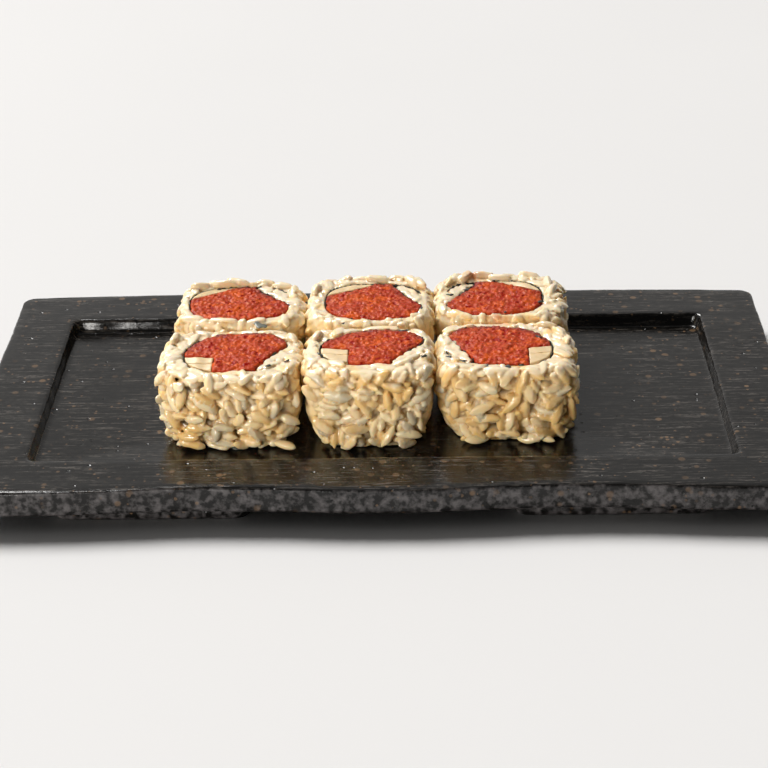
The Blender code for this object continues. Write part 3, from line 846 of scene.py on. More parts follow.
def slab_rings():
    """The slab's rings from underneath, up its flank, over the rim and down into the well."""
    flank = ((0.75, SLAB_Z), (0.42, SLAB_Z + 0.10), (0.2, SLAB_Z + 0.32), (0.06, SLAB_Z + 0.65),
             (0.0, SLAB_Z + 1.1), (0.0, SLAB_Z + 2.4), (0.0, SLAB_Z + 3.7), (0.0, SLAB_Z + 5.0),
             (0.0, SLAB_Z + 6.2), (0.0, RIM_Z - 1.3),
             (0.12, RIM_Z - 0.75), (0.42, RIM_Z - 0.34), (0.85, RIM_Z - 0.10), (1.5, RIM_Z))
    well = ((-1.2, RIM_Z), (-0.55, RIM_Z - 0.12), (-0.1, RIM_Z - 0.5), (0.15, RIM_Z - 1.2),
            (0.5, FLOOR_Z + 2.2), (0.85, FLOOR_Z + 1.2), (1.25, FLOOR_Z + 0.5), (1.8, FLOOR_Z + 0.14),
            (2.8, FLOOR_Z))
    rings = [at_height(plate_edge(inset), z) for inset, z in flank]
    walls = [at_height(rounded_outline(WELL_HALF_X - inset, WELL_HALF_Y - inset, WELL_CORNER), z)
             for inset, z in well]
    across = [rings[-1] + (walls[0] - rings[-1]) * step / RIM_RINGS for step in range(1, RIM_RINGS)]
    return rings, across, walls


def foot_part(side):
    middle = side * (FOOT_NEAR_X + FOOT_FAR_X) / 2
    half = (FOOT_FAR_X - FOOT_NEAR_X) / 2
    steps = ((1.2, 0.0), (0.6, 0.2), (0.3, 0.5), (0.0, 1.5), (0.0, SLAB_Z + 1.0))
    rings = [at_height(rounded_outline(half - inset, FOOT_HALF_Y - inset, FOOT_CORNER - inset)
                       + (middle, 0.0), z) for inset, z in steps]
    verts, faces = bridge(rings)
    count = len(rings[0])
    verts, faces = cap_end(verts, faces, 0, count, 0.0, facing_up=False)
    return cap_end(verts, faces, (len(rings) - 1) * count, count, SLAB_Z + 1.0, facing_up=True)


def make_plate(settings):
    flank, across, walls = slab_rings()
    wander = to_mm(settings.edge_wander)
    pit_depth = to_mm(settings.pit_depth)
    for ring in flank[:-1]:
        out = ring * (1.0, 1.0, 0.0)
        out /= np.abs(out).max(axis=1, keepdims=True)
        pitted = np.clip(soft_noise(ring, 3.1, 21) - 0.9, 0.0, 1.0) * pit_depth
        stray = soft_noise(ring, 17.0, 22) * wander * 0.5 + soft_noise(ring, 5.0, 23) * wander * 0.28
        ring += out * np.minimum(stray - wander * 0.6 - pitted, 0.0)[:, None]
    for ring in flank[-2:] + across + walls[:3]:
        ring[:, 2] += soft_noise(ring[:, :2], 46.0, 24) * wander * 0.5 - wander * 0.7
    for ring in walls:
        ring[:, :2] += np.sign(ring[:, :2]) * (soft_noise(ring, 9.0, 25) * wander * 0.4)[:, None]
    rings = flank + across + walls
    count = len(rings[0])
    verts, faces = bridge(rings)
    floor_first = (len(rings) - 1) * count
    verts, faces = cap_end(verts, faces, 0, count, SLAB_Z, facing_up=False)
    verts, faces = cap_end(verts, faces, floor_first, count, FLOOR_Z, facing_up=True)
    on_flank = np.zeros(len(verts))
    on_flank[:(len(flank) - 3) * count] = 1.0
    feet = [foot_part(side) for side in (-1, 1)]
    all_verts, all_faces = joined([(verts, faces), *feet])
    marks = {"flank": np.concatenate((on_flank, np.ones(len(all_verts) - len(on_flank))))}
    make_piece("stoneware_plate", all_verts, all_faces, [glaze_material(settings)], ("plate",),
               marks)


# Rice

GRAIN_SIDES = 10
GRAIN_RINGS = 8
GRAIN_VARIANTS = 14
BEAD_SHARES = np.array((-0.62, 0.0, 0.62))   # where a grain's three beads lie along its half length
BEAD_RADIUS = 0.40                           # as a share of the grain's width
PUSH_SHARE = 0.42                            # shares of an error that one settling step makes good
WALL_PULL = 0.36
HOLE_PULL = 0.6
LIFT_PULL = 0.35
SINK_PULL = 0.5
FLOOR_PULL = 0.6
TWIST_SHARE = 0.9
BLUNTNESS = (2.0, 3.1)                       # powers that shape a grain's ends, from pointed to blunt
FULLNESS = (0.52, 0.72)
BEND = 0.34                                  # as a share of half a grain's width
CREASE = 0.14                                # as a share of its thickness
SIZE_RANGE = (0.82, 1.14)
LENGTH_RANGE = (0.78, 1.1)
GIRTH_RANGE = (0.92, 1.1)
SIDE_FOOTPRINT = 18.0                        # wall that one outer grain takes up, in square millimetres
UNDER_FOOTPRINT = 20.0
TOP_FOOTPRINT = 15.5
EDGE_DROP = 2.0                              # how far the cut's edge is rounded down
EDGE_REACH = 3.2
SHUT_BAND = 9.0                              # how far down a wall against a neighbour has grains
CORE_SPARE = 2.5                             # how deep the core lies behind the wall
SKIN_DEPTH = 4.6                             # skin that lies deeper than this isn't the wall's
CORE_STEPS = 240
CORE_TOP_DROP = 0.75
WALL_SAMPLES = 480
KEPT_FACES = 0.42                            # share of the fused skin's triangles that stay
SEAM_SOFTENING = 3
MELTING_STEPS = 5
# Painted shade: the deepest tenth of the wall is painted darker, darkest at its very depths
HOLE_SHARES = (0.90, 0.985)                  # the deepest tenth of the wall darkens toward its very depths
TOP_DEPTH = 0.9                              # how far under the cut its grains start
POCKET_GRAIN_DEPTH = 0.85
POCKET_GRAIN_SWING = 38                      # degrees to either side of the fold's run
CREST_ROOM = 2.3                             # how far a crest may stand up past the cut
ROOM_ABOVE = 2.35                            # how far anything may
CLEAR_SHARE = 0.16                           # share of glassy grains
CORE_TONE = 0.45
POCKET_TONE = 0.97
TONGUE_TONE = 0.95
TONE_DRIFT = 0.24                            # from one part of a roll to another
TONGUE_DEPTH = 1.15
TONGUE_CLEAR = 0.22                          # between the tongue and the sheet
MELTED_SHARE = 0.30
STAND_OUT = 0.9                              # how far grains stand out of the wall
LEAN_OVER = 0.8                              # how far grains reach over to a neighbouring roll
GOLDEN = (0.7548776662, 0.5698402910)        # even two-way shuffle of the unit square

Grains = namedtuple("Grains", "centre along reach depth dip lift kind size")
OUTER, UNDER, TOP, CREST = range(4)


def grain_shapes(rng):
    """Unit grains: plump spindles, bent and dented, with the germ end nipped."""
    angle = 2 * math.pi * np.arange(GRAIN_SIDES) / GRAIN_SIDES
    stations = -np.cos(math.pi * (np.arange(GRAIN_RINGS) + 0.75) / (GRAIN_RINGS + 0.5))
    shapes = []
    for _ in range(GRAIN_VARIANTS):
        blunt = rng.uniform(*BLUNTNESS)
        girth = (1 - np.abs(stations) ** blunt) ** rng.uniform(*FULLNESS)
        girth *= 1 + 0.07 * np.sin(stations * rng.uniform(2, 5) + rng.uniform(0, 6))
        bend = rng.uniform(-BEND, BEND)
        crease = rng.uniform(0.0, CREASE)
        side = np.outer(girth, np.cos(angle))
        out = np.outer(girth, np.sin(angle))
        wobble = (1 + 0.08 * np.sin(angle * 2 + rng.uniform(0, 6))
                  + 0.06 * np.sin(angle * 3 + rng.uniform(0, 6)))
        side = side * wobble + (bend * (1 - stations ** 2))[:, None]
        out = out * wobble * (1 - crease * np.exp(-(np.cos(angle) / 0.35) ** 2))
        nip = np.clip((stations - 0.62) / 0.38, 0, 1)[:, None] * rng.uniform(0.0, 0.55)
        side = side + nip * np.clip(np.cos(angle), 0, 1) * -0.5
        along = np.repeat(stations[:, None], GRAIN_SIDES, axis=1)
        body = np.stack((along, side, out), axis=-1).reshape(-1, 3)
        tips = np.array(((-1.0, 0.0, 0.0), (1.0, 0.0, 0.0)))
        shapes.append(np.vstack((body, tips)))
    return np.array(shapes)


def grain_faces():
    faces = []
    for ring in range(GRAIN_RINGS - 1):
        for i in range(GRAIN_SIDES):
            j = (i + 1) % GRAIN_SIDES
            low, high = ring * GRAIN_SIDES, (ring + 1) * GRAIN_SIDES
            faces.append((low + i, high + i, high + j, low + j))
    first_tip = GRAIN_RINGS * GRAIN_SIDES
    last = (GRAIN_RINGS - 1) * GRAIN_SIDES
    for i in range(GRAIN_SIDES):
        j = (i + 1) % GRAIN_SIDES
        faces.append((first_tip, i, j))
        faces.append((first_tip + 1, last + j, last + i))
    return faces


def wall_line(roll, box):
    """Points evenly spaced round the wall at mid height, each with its way out."""
    (middle_x, middle_y), (half_x, half_y) = box
    angle = 2 * math.pi * np.arange(WALL_SAMPLES * 4) / (WALL_SAMPLES * 4)
    radius = oval_radius(half_x, half_y, RICE_POWER, angle)
    fine = np.stack((middle_x + radius * np.cos(angle), middle_y + radius * np.sin(angle)), axis=-1)
    steps = np.linalg.norm(np.roll(fine, -1, axis=0) - fine, axis=1)
    travelled = np.concatenate(((0.0,), np.cumsum(steps)))
    length = travelled[-1]
    places = np.interp(np.arange(WALL_SAMPLES) * length / WALL_SAMPLES, travelled,
                       np.arange(len(travelled)))
    line = fine[places.astype(int) % len(fine)]
    return line, length


def shuffled(count, rng):
    """Places spread evenly over the unit square, in mixed order."""
    index = np.arange(count)
    u = (index * GOLDEN[0] + rng.random()) % 1.0
    v = (index * GOLDEN[1] + rng.random()) % 1.0
    return u, v


def against_neighbour(roll, way):
    facing = {"left": -way[..., 0], "right": way[..., 0], "front": -way[..., 1], "back": way[..., 1]}
    shut = np.zeros(way.shape[:-1], dtype=bool)
    for side, amount in facing.items():
        if side not in roll.open_sides:
            shut |= amount > 0.75
    return shut


def scatter_wall(roll, box, footprint, depth, rng):
    """Grains shuffled evenly over the wall, lying along it at all slants."""
    line, length = wall_line(roll, box)
    height = roll.top - BASE_Z
    u, v = shuffled(int(length * height / footprint), rng)
    spots = line[(u * WALL_SAMPLES).astype(int) % WALL_SAMPLES]
    z = BASE_Z + 0.8 + v * (height - 1.6)
    centre = np.column_stack((spots, z))
    gap, way = wall_depth(roll, centre, box)
    keep = ~against_neighbour(roll, way) | (z > roll.top - SHUT_BAND)
    centre, way, gap = centre[keep], way[keep], gap[keep]
    centre += way * (gap - depth)[:, None]
    sideways = np.stack((-way[:, 1], way[:, 0], np.zeros(len(way))), axis=-1)
    slant = rng.uniform(-math.pi / 2, math.pi / 2, len(way))
    along = sideways * np.cos(slant)[:, None] + np.array((0, 0, 1.0)) * np.sin(slant)[:, None]
    return centre, along


def scatter_top(roll, box, rng):
    """Grains lying just under the cut, in the ring round the filling."""
    (middle_x, middle_y), (half_x, half_y) = box
    count = int(4 * half_x * half_y / TOP_FOOTPRINT)
    u, v = shuffled(count, rng)
    centre = np.column_stack((middle_x + (2 * u - 1) * half_x, middle_y + (2 * v - 1) * half_y,
                              np.full(count, roll.top - TOP_DEPTH)))
    depth, _ = wall_depth(roll, centre, box)
    degrees, radius = section_place(roll, centre)
    keep = (depth > 1.0) & (radius > hole_radius(roll, degrees, 1.0))
    centre = centre[keep]
    yaw = rng.uniform(0, math.pi, len(centre))
    tilt = rng.normal(0, 0.28, len(centre))
    along = np.stack((np.cos(yaw) * np.cos(tilt), np.sin(yaw) * np.cos(tilt), np.sin(tilt)), axis=-1)
    return centre, along


def gather_grains(roll, settings, rng):
    box = rice_box(roll, 0.0, -0.2)
    girth = to_mm(settings.grain_width) * BEAD_RADIUS
    groups = [(OUTER, *scatter_wall(roll, box, SIDE_FOOTPRINT, girth, rng)),
              (UNDER, *scatter_wall(roll, box, UNDER_FOOTPRINT, girth * 2.3, rng)),
              (TOP, *scatter_top(roll, box, rng))]
    crests = roll.crests
    yaw = np.radians([crest.yaw for crest in crests])
    groups.append((CREST, np.array([(crest.x, crest.y, roll.top + crest.rise) for crest in crests]),
                   np.stack((np.cos(yaw), np.sin(yaw), rng.uniform(-0.15, 0.15, len(crests))), axis=-1)))
    centre = np.concatenate([group[1] for group in groups])
    along = np.concatenate([group[2] for group in groups])
    kind = np.concatenate([np.full(len(group[1]), group[0]) for group in groups])
    count = len(centre)
    size = rng.uniform(*SIZE_RANGE, count)
    reach = to_mm(settings.grain_length) / 2 * size * rng.uniform(*LENGTH_RANGE, count)
    outer_depth = girth + rng.normal(0.05, 0.62, count).clip(-0.85, 1.5)
    depth = np.where(kind == UNDER, girth * 2.6, outer_depth)
    lift = roll.top + np.where(kind == TOP, rng.uniform(-1.7, -0.3, count), -0.3) + brim(roll, centre)
    lift = np.where(kind == CREST, centre[:, 2], lift)
    dip = rng.normal(0.0, 0.34, count).clip(-0.7, 0.7)
    return Grains(centre, along, reach, depth, dip, lift, kind, size), box


def settle(roll, grains, box, settings):
    """Push the grains apart until they lie side by side in the skin of the roll."""
    centre, along = grains.centre, grains.along
    count = len(centre)
    radius = np.repeat(to_mm(settings.grain_width) * BEAD_RADIUS * grains.size, 3)
    contact = (radius[:, None] + radius[None]).astype(np.float32)
    own = np.repeat(np.arange(count), 3)
    contact[own[:, None] == own[None]] = 0.0
    depth_wanted = (grains.depth[:, None] + (grains.dip * grains.reach)[:, None] * BEAD_SHARES).ravel()
    kind = np.repeat(grains.kind, 3)
    lift = np.repeat(grains.lift, 3)
    on_wall = (kind == OUTER) | (kind == UNDER)
    for _ in range(settings.settling):
        beads = centre[:, None] + along[:, None] * (grains.reach[:, None] * BEAD_SHARES)[..., None]
        flat = beads.reshape(-1, 3).astype(np.float32)
        apart = flat[:, None] - flat[None]
        distance = np.sqrt(np.einsum("ijk,ijk->ij", apart, apart)) + 1e-5
        overlap = np.maximum(contact - distance, 0.0) / distance
        move = np.einsum("ijk,ij->ik", apart, overlap).astype(float) * PUSH_SHARE
        gap, way = wall_depth(roll, flat.astype(float), box)
        error = gap - depth_wanted
        pull = np.where(on_wall, error * WALL_PULL, np.minimum(gap - radius, 0.0) * WALL_PULL * 2)
        move += way * pull[:, None]
        degrees, spread_out = section_place(roll, flat)
        out = flat[:, :2] - (roll.filling.x, roll.filling.y)
        out /= np.linalg.norm(out, axis=1, keepdims=True)
        short = np.maximum(hole_radius(roll, degrees, 0.25) + radius * 0.9 - spread_out, 0.0)
        move[:, :2] += out * (short * HOLE_PULL)[:, None]
        climb = lift - flat[:, 2]
        move[:, 2] += np.where(kind >= TOP, climb * LIFT_PULL, np.minimum(climb, 0.0) * SINK_PULL)
        move[:, 2] += np.maximum(FLOOR_Z + 0.2 + radius - flat[:, 2], 0.0) * FLOOR_PULL
        each = move.reshape(count, 3, 3)
        centre = centre + each.mean(axis=1)
        twist = (each * BEAD_SHARES[None, :, None]).sum(axis=1) / grains.reach[:, None]
        along = along + twist * TWIST_SHARE
        along /= np.linalg.norm(along, axis=1, keepdims=True)
    return grains._replace(centre=centre, along=along)


def pocket_grains(roll, rng):
    """The few flattened grains caught between the sheet's two layers."""
    shares = np.array((0.17, 0.24, 0.31, 0.38, 0.45, 0.52, 0.60, 0.68, 0.76))
    across = np.array((0.5, 0.32, 0.70, 0.30, 0.68, 0.34, 0.66, 0.36, 0.55))
    degrees = POCKET_START + POCKET_SPAN * shares
    middle = sheet_radius(roll, degrees, 0.0) - pocket_dent(degrees) * across
    before = section_points(roll, degrees - 3, middle)
    spots = section_points(roll, degrees, middle)
    swings = rng.uniform(-POCKET_GRAIN_SWING, POCKET_GRAIN_SWING, len(degrees))
    swing = np.array([turned(way, angle) for way, angle in zip(spots - before, swings)])
    along = np.column_stack((swing, rng.uniform(-0.25, 0.25, len(degrees))))
    along /= np.linalg.norm(along, axis=1, keepdims=True)
    slimness = np.clip(pocket_dent(degrees) / POCKET_DEPTH, 0.3, 0.8)
    return at_height(spots, roll.top - POCKET_GRAIN_DEPTH), along, slimness


def brim(roll, spots):
    """How much higher the cut runs along the back of the back row, where the knife tore the rice."""
    if "back" not in roll.open_sides:
        return np.zeros(len(spots))
    near = np.clip((spots[:, 1] - roll.back + 7.0) / 5.0, 0.0, 1.0)
    return near * (0.75 + 0.55 * soft_noise(spots[:, :2], 9.0, roll.seed + 15))


def shape_grains(roll, grains, box, settings, rng):
    """Every grain's points, cut level with the knife's plane and kept out of the filling."""
    shapes = grain_shapes(rng)
    count = len(grains.centre)
    unit = shapes[rng.integers(0, GRAIN_VARIANTS, count)]
    _, way = wall_depth(roll, grains.centre, box)
    facing = np.where((grains.kind >= TOP)[:, None], np.array((0.0, 0.0, 1.0)), way)
    facing = facing + rng.normal(0, 0.22, (count, 3))
    side = np.cross(facing, grains.along)
    side /= np.linalg.norm(side, axis=1, keepdims=True)
    facing = np.cross(grains.along, side)
    width = to_mm(settings.grain_width) / 2 * grains.size * rng.uniform(*GIRTH_RANGE, count)
    thick = to_mm(settings.grain_height) / 2 * grains.size * rng.uniform(*GIRTH_RANGE, count)
    verts = (grains.centre[:, None]
             + unit[..., 0:1] * (grains.along * grains.reach[:, None])[:, None]
             + unit[..., 1:2] * (side * width[:, None])[:, None]
             + unit[..., 2:3] * (facing * thick[:, None])[:, None])
    verts += soft_noise(verts, 2.3, roll.seed)[..., None] * 0.13 * facing[:, None]
    verts += soft_noise(verts, 1.9, roll.seed + 1)[..., None] * 0.10 * side[:, None]
    slice_height = roll.top + rng.uniform(-0.6, 0.3, count)
    ragged_edge = np.where(grains.kind == OUTER, rng.uniform(-0.8, 0.6, count), 0.0)
    slice_height += ragged_edge + brim(roll, grains.centre)
    stands = grains.kind == CREST
    slice_height = np.where(stands, roll.top + CREST_ROOM, slice_height)
    level = verts.copy()
    level[..., 2] = (BASE_Z + roll.top) / 2
    to_edge = np.clip(1 - wall_depth(roll, level, box)[0] / EDGE_REACH, 0.0, 1.4)
    rounded = slice_height[:, None] - np.where(stands[:, None], 0.0, EDGE_DROP * to_edge ** 2)
    over = verts[..., 2] - rounded
    verts[..., 2] = rounded + np.where(over > 0, over * 0.3, over)
    verts[..., 2] = np.maximum(verts[..., 2], FLOOR_Z + 0.12)
    degrees, radius = section_place(roll, verts)
    smeared = sheet_hidden(roll, degrees) * (verts[..., 2] > roll.top - SMEAR_DEPTH)
    wanted = hole_radius(roll, degrees, 0.2) - SMEAR_REACH * smeared
    grow = np.where(radius < wanted, wanted / np.maximum(radius, 1.0), 1.0)
    middle = np.array((roll.filling.x, roll.filling.y))
    verts[..., :2] = middle + (verts[..., :2] - middle) * grow[..., None]
    return verts


STAINS = (  # orange sauce on the rice: x, y, z, radius, strength
    (38.6, 2.6, 35.6, 3.6, 0.75), (35.0, 4.0, 36.0, 2.0, 0.6), (30.2, 34.8, 36.6, 4.4, 0.6),
    (14.1, 26.7, 36.8, 2.4, 0.5), (1.2, -31.4, 36.7, 2.2, 0.55), (4.1, -4.0, 36.6, 3.0, 0.4),
    (-57.3, -1.2, 35.4, 3.0, 0.3), (46.6, -27.0, 35.2, 3.0, 0.35), (21.0, 35.0, 36.6, 3.0, 0.3),
)


def sauce_share(spots):
    share = np.zeros(spots.shape[:-1])
    for x, y, z, radius, strength in STAINS:
        distance = np.linalg.norm(spots - (x, y, z), axis=-1)
        share = np.maximum(share, strength * np.clip(1.3 - distance / radius, 0.0, 1.0))
    return share * (0.75 + 0.25 * soft_noise(spots, 2.4, 31))


def outward_reach(roll, degrees, z, box):
    """From the filling's middle, along each direction, to the wall of the box at height z."""
    low = np.full(len(degrees), 6.0)
    high = np.full(len(degrees), 45.0)
    for _ in range(22):
        middle = (low + high) / 2
        spots = at_height(section_points(roll, degrees, middle), z)
        inside = wall_depth(roll, spots, box)[0] > 0
        low = np.where(inside, middle, low)
        high = np.where(inside, high, middle)
    return low


def core_part(roll):
    """The lumpy mass behind the grains, as one ring round the hole for the filling."""
    box = rice_box(roll, CORE_SPARE, 0.45)
    degrees = 360.0 * np.arange(CORE_STEPS) / CORE_STEPS * roll.flip_x * roll.flip_y
    inner = hole_radius(roll, degrees % 360, 0.2)
    top = roll.top - CORE_TOP_DROP
    outer = np.maximum(outward_reach(roll, degrees, top, box), inner + 0.6)
    rings = []

    def add_ring(radius, z):
        rings.append(at_height(section_points(roll, degrees, radius), z))

    for share in (0.0, 0.5, 0.85):
        add_ring(inner, BASE_Z + (top - BASE_Z) * share)
    for share in np.linspace(0.0, 1.0, 13):
        radius = inner + (outer - inner) * share
        spots = section_points(roll, degrees, radius)
        domes, _ = cell_domes(spots * (1.0, 1.35), 3.0, roll.seed)
        edge = 0.25 * (share in (0.0, 1.0))
        add_ring(radius, top + domes * 0.42 - 0.12 - edge)
    for height in np.linspace(0.97, 0.0, 30):
        z = BASE_Z + (top - BASE_Z) * height
        radius = np.maximum(outward_reach(roll, degrees, z, box), inner + 0.4)
        spots = section_points(roll, degrees, radius)
        round_wall = np.unwrap(np.radians(degrees)) * 20.0
        domes, _ = cell_domes(at_height(round_wall[:, None], z * 1.3), 4.2, roll.seed + 3)
        radius = np.maximum(radius + (domes - 0.6) * 1.0, inner + 0.3)
        add_ring(radius, z)
    return bridge(rings, closed_stack=True)


def tongue_part(roll):
    """The rice between the two layers of the sheet, where its ends overlap."""
    degrees = POCKET_START + POCKET_SPAN * np.linspace(POCKET_TIP, OUTER_END + 0.04, 46)
    inside = sheet_radius(roll, degrees, TONGUE_CLEAR) - pocket_dent(degrees)
    outside = np.maximum(sheet_radius(roll, degrees, -TONGUE_CLEAR), inside + 0.1)
    rows = []
    for share in np.linspace(0.0, 1.0, 9):
        spots = section_points(roll, degrees, inside + (outside - inside) * share)
        domes, _ = cell_domes(spots, 2.6, roll.seed + 5)
        drop = 0.5 * abs(2 * share - 1) ** 4
        rows.append(at_height(spots, roll.top - TONGUE_DEPTH + domes * 0.6 - drop))
    return sheet_solid(rows)


def sheet_solid(rows):
    """A closed strip: its top is the rows across it, and it stands on the base."""
    low_first = rows[0].copy()
    low_first[:, 2] = BASE_Z
    low_last = rows[-1].copy()
    low_last[:, 2] = BASE_Z
    middle_first = (rows[0] + low_first) / 2
    middle_last = (rows[-1] + low_last) / 2
    around = [low_first, middle_first, *rows, middle_last, low_last]
    count = len(around)
    length = len(rows[0])
    verts = np.stack(around, axis=1).reshape(-1, 3)
    faces = []
    for step in range(length - 1):
        for i in range(count):
            j = (i + 1) % count
            a, b = step * count, (step + 1) * count
            faces.append((a + i, a + j, b + j, b + i))
    faces.append(tuple(range(count - 1, -1, -1)))
    faces.append(tuple((length - 1) * count + i for i in range(count)))
    return verts, faces


def outward_faces(verts, faces):
    """Faces turned so that the closed body they make points out."""
    volume = 0.0
    for face in faces:
        a = verts[face[0]]
        for second, third in zip(face[1:], face[2:]):
            volume += np.dot(a, np.cross(verts[second], verts[third]))
    return faces if volume > 0 else [tuple(reversed(face)) for face in faces]


def reshaped(verts, faces, modifiers):
    """A closed body put through Blender's modifiers: its points, ways out, edges and faces."""
    mesh = bpy.data.meshes.new("raw")
    mesh.from_pydata(verts.tolist(), [], faces)
    item = bpy.data.objects.new("raw", mesh)
    bpy.context.scene.collection.objects.link(item)
    for kind, choices in modifiers:
        modifier = item.modifiers.new(kind, kind)
        for name, value in choices.items():
            setattr(modifier, name, value)
    bpy.context.view_layer.update()
    skin = bpy.data.meshes.new_from_object(item.evaluated_get(bpy.context.evaluated_depsgraph_get()))
    points = np.empty(len(skin.vertices) * 3)
    skin.vertices.foreach_get("co", points)
    out = np.empty(len(skin.vertices) * 3)
    skin.vertex_normals.foreach_get("vector", out)
    edges = np.empty(len(skin.edges) * 2, dtype=np.int32)
    skin.edges.foreach_get("vertices", edges)
    faces = [tuple(face.vertices) for face in skin.polygons]
    bpy.data.objects.remove(item, do_unlink=True)
    bpy.data.meshes.remove(mesh)
    bpy.data.meshes.remove(skin)
    return points.reshape(-1, 3), out.reshape(-1, 3), edges.reshape(-1, 2), faces


def fused(verts, faces, fineness, kept_share=1.0):
    """Overlapping closed parts run together into one skin, thinned to a share of its faces."""
    steps = [("REMESH", {"mode": "VOXEL", "voxel_size": fineness})]
    if kept_share < 1.0:
        steps.append(("DECIMATE", {"ratio": kept_share}))
    return reshaped(verts, faces, steps)


def neighbour_mean(edges, count, first_value, second_value):
    """For each point, the mean over its edges of the value that each end of an edge is given."""
    total = np.bincount(edges[:, 0], first_value, count) + np.bincount(edges[:, 1], second_value, count)
    return total / np.maximum(np.bincount(edges.ravel(), minlength=count), 1)


def melted(points, edges, share):
    """The points drawn toward their neighbours, step by step, which fills the creases between grains."""
    for _ in range(MELTING_STEPS):
        around = [neighbour_mean(edges, len(points), points[edges[:, 1], axis], points[edges[:, 0], axis])
                  for axis in range(3)]
        points = points + (np.stack(around, axis=-1) - points) * share[:, None]
    return points


def seam_share(points, out, edges):
    """How much each point lies in a crease between grains, from 0 to 1, which sets both the melting and the
    painted golden shade there.
    """
    across = points[edges[:, 1]] - points[edges[:, 0]]
    length = np.einsum("ij,ij->i", across, across) + 1e-6
    rise_first = np.einsum("ij,ij->i", out[edges[:, 0]], across) / length
    rise_second = -np.einsum("ij,ij->i", out[edges[:, 1]], across) / length
    hollow = neighbour_mean(edges, len(points), rise_first, rise_second)
    for _ in range(SEAM_SOFTENING):
        around = neighbour_mean(edges, len(points), hollow[edges[:, 1]], hollow[edges[:, 0]])
        hollow = (hollow + around) / 2
    return np.clip((hollow + 0.02) / 0.30, 0.0, 1.0)


def nearest_value(points, known, values):
    """Each point's value, from the nearest known place."""
    tree = KDTree(len(known))
    for index, place in enumerate(known):
        tree.insert(place, index)
    tree.balance()
    return values[np.array([tree.find(point)[1] for point in points])]


def make_rice(roll, settings, material):
    rng = np.random.default_rng(roll.seed)
    grains, box = gather_grains(roll, settings, rng)
    grains = settle(roll, grains, box, settings)
    verts = shape_grains(roll, grains, box, settings, rng)
    count, per_grain = verts.shape[:2]
    tone = rng.beta(1.5, 1.9, count)
    tone = np.where(rng.random(count) < CLEAR_SHARE, rng.uniform(0.85, 1.0, count), tone * 0.8)
    centre, along, slimness = pocket_grains(roll, rng)
    shapes = grain_shapes(rng)
    pocket = []
    for place, way, slim in zip(centre, along, slimness):
        shape = shapes[rng.integers(GRAIN_VARIANTS)]
        side = np.array((-way[1], way[0], 0.0))
        grain = (place + shape[:, 0:1] * way * to_mm(settings.grain_length) * 0.36
                 + shape[:, 1:2] * side * to_mm(settings.grain_width) / 2 * slim
                 + shape[:, 2:3] * np.array((0, 0, 1.1)))
        grain[:, 2] = np.minimum(grain[:, 2], roll.top + rng.uniform(-0.2, 0.05))
        pocket.append(grain)
    all_grains = np.concatenate((verts, np.array(pocket)))
    all_tone = np.concatenate((tone, np.full(len(pocket), POCKET_TONE)))
    grain_verts = all_grains.reshape(-1, 3)
    faces = [tuple(index + grain * per_grain for index in face)
             for grain in range(len(all_grains)) for face in grain_faces()]
    core = core_part(roll)
    tongue = tongue_part(roll)
    parts = [(grain_verts, faces), (core[0], outward_faces(*core)), (tongue[0], outward_faces(*tongue))]
    loose, loose_faces = joined(parts)
    lean = by_side(roll, STAND_OUT, LEAN_OVER)
    room_low = np.array((roll.left - lean["left"], roll.front - lean["front"], FLOOR_Z + 0.1))
    room_high = np.array((roll.right + lean["right"], roll.back + lean["back"], roll.top + ROOM_ABOVE))
    skin, out, edges, skin_faces = fused(np.clip(loose, room_low, room_high), loose_faces,
                                         to_mm(settings.fusing), KEPT_FACES)
    seam = seam_share(skin, out, edges)
    sticky = np.clip(0.6 + 0.5 * soft_noise(skin, 8.0, roll.seed + 23), 0.1, 1.0)
    skin = melted(skin, edges, MELTED_SHARE * sticky * (0.3 + 0.7 * seam))
    skin += out * (0.04 * soft_noise(skin, 1.3, roll.seed + 2))[:, None]
    skin = np.clip(skin, room_low, room_high)
    loose_tone = np.concatenate((np.repeat(all_tone, per_grain), np.full(len(core[0]), CORE_TONE),
                                 np.full(len(tongue[0]), TONGUE_TONE)))
    drift = TONE_DRIFT * soft_noise(skin, 12.0, roll.seed + 22)
    depth = wall_depth(roll, skin, box)[0]
    below = roll.top - skin[:, 2]
    shallow, deepest = np.quantile(depth[(depth < SKIN_DEPTH) & (below > 2.0)], HOLE_SHARES)
    smeared = 3.0 + 2.2 * soft_noise(skin, 7.0, roll.seed + 21)
    marks = {
        "tone": nearest_value(skin, loose, loose_tone) - roll.soaked + drift,
        "cut": np.clip((smeared - below) / 2.5, 0, 1) * np.clip(0.55 + 0.6 * out[:, 2], 0, 1),
        # painted shade: golden tint in the creases
        "seam": seam,
        # painted shade: darkens the deepest holes between the grains, below the cut
        "deep": np.clip((depth - shallow) / (deepest - shallow), 0, 1) * np.clip((below - 0.8) / 1.2, 0, 1),
        "sauce": sauce_share(skin),
    }
    make_piece(f"rice_grains_{roll.name}", skin, skin_faces, [material], (f"rice_{roll.name}",),
               marks)


# Nori, tuna and batons

SHEET_STEP = 0.75        # degrees between the sheet's points
SHEET_ACROSS = 4
TUNA_STEPS = 230
TUNA_RINGS = 30
MINCE_KEPT = 0.5         # share of the mince's triangles that stay
RUN_PER_DEGREE = 0.27    # millimetres along the sheet for one degree round it
TUNA_CLEAR = 0.22        # what each piece keeps clear of the sheet or of a plank
BATON_CLEAR = 0.30
PLANK_CLEAR = 0.12
BATON_STEPS = 130
BATON_RINGS = 14


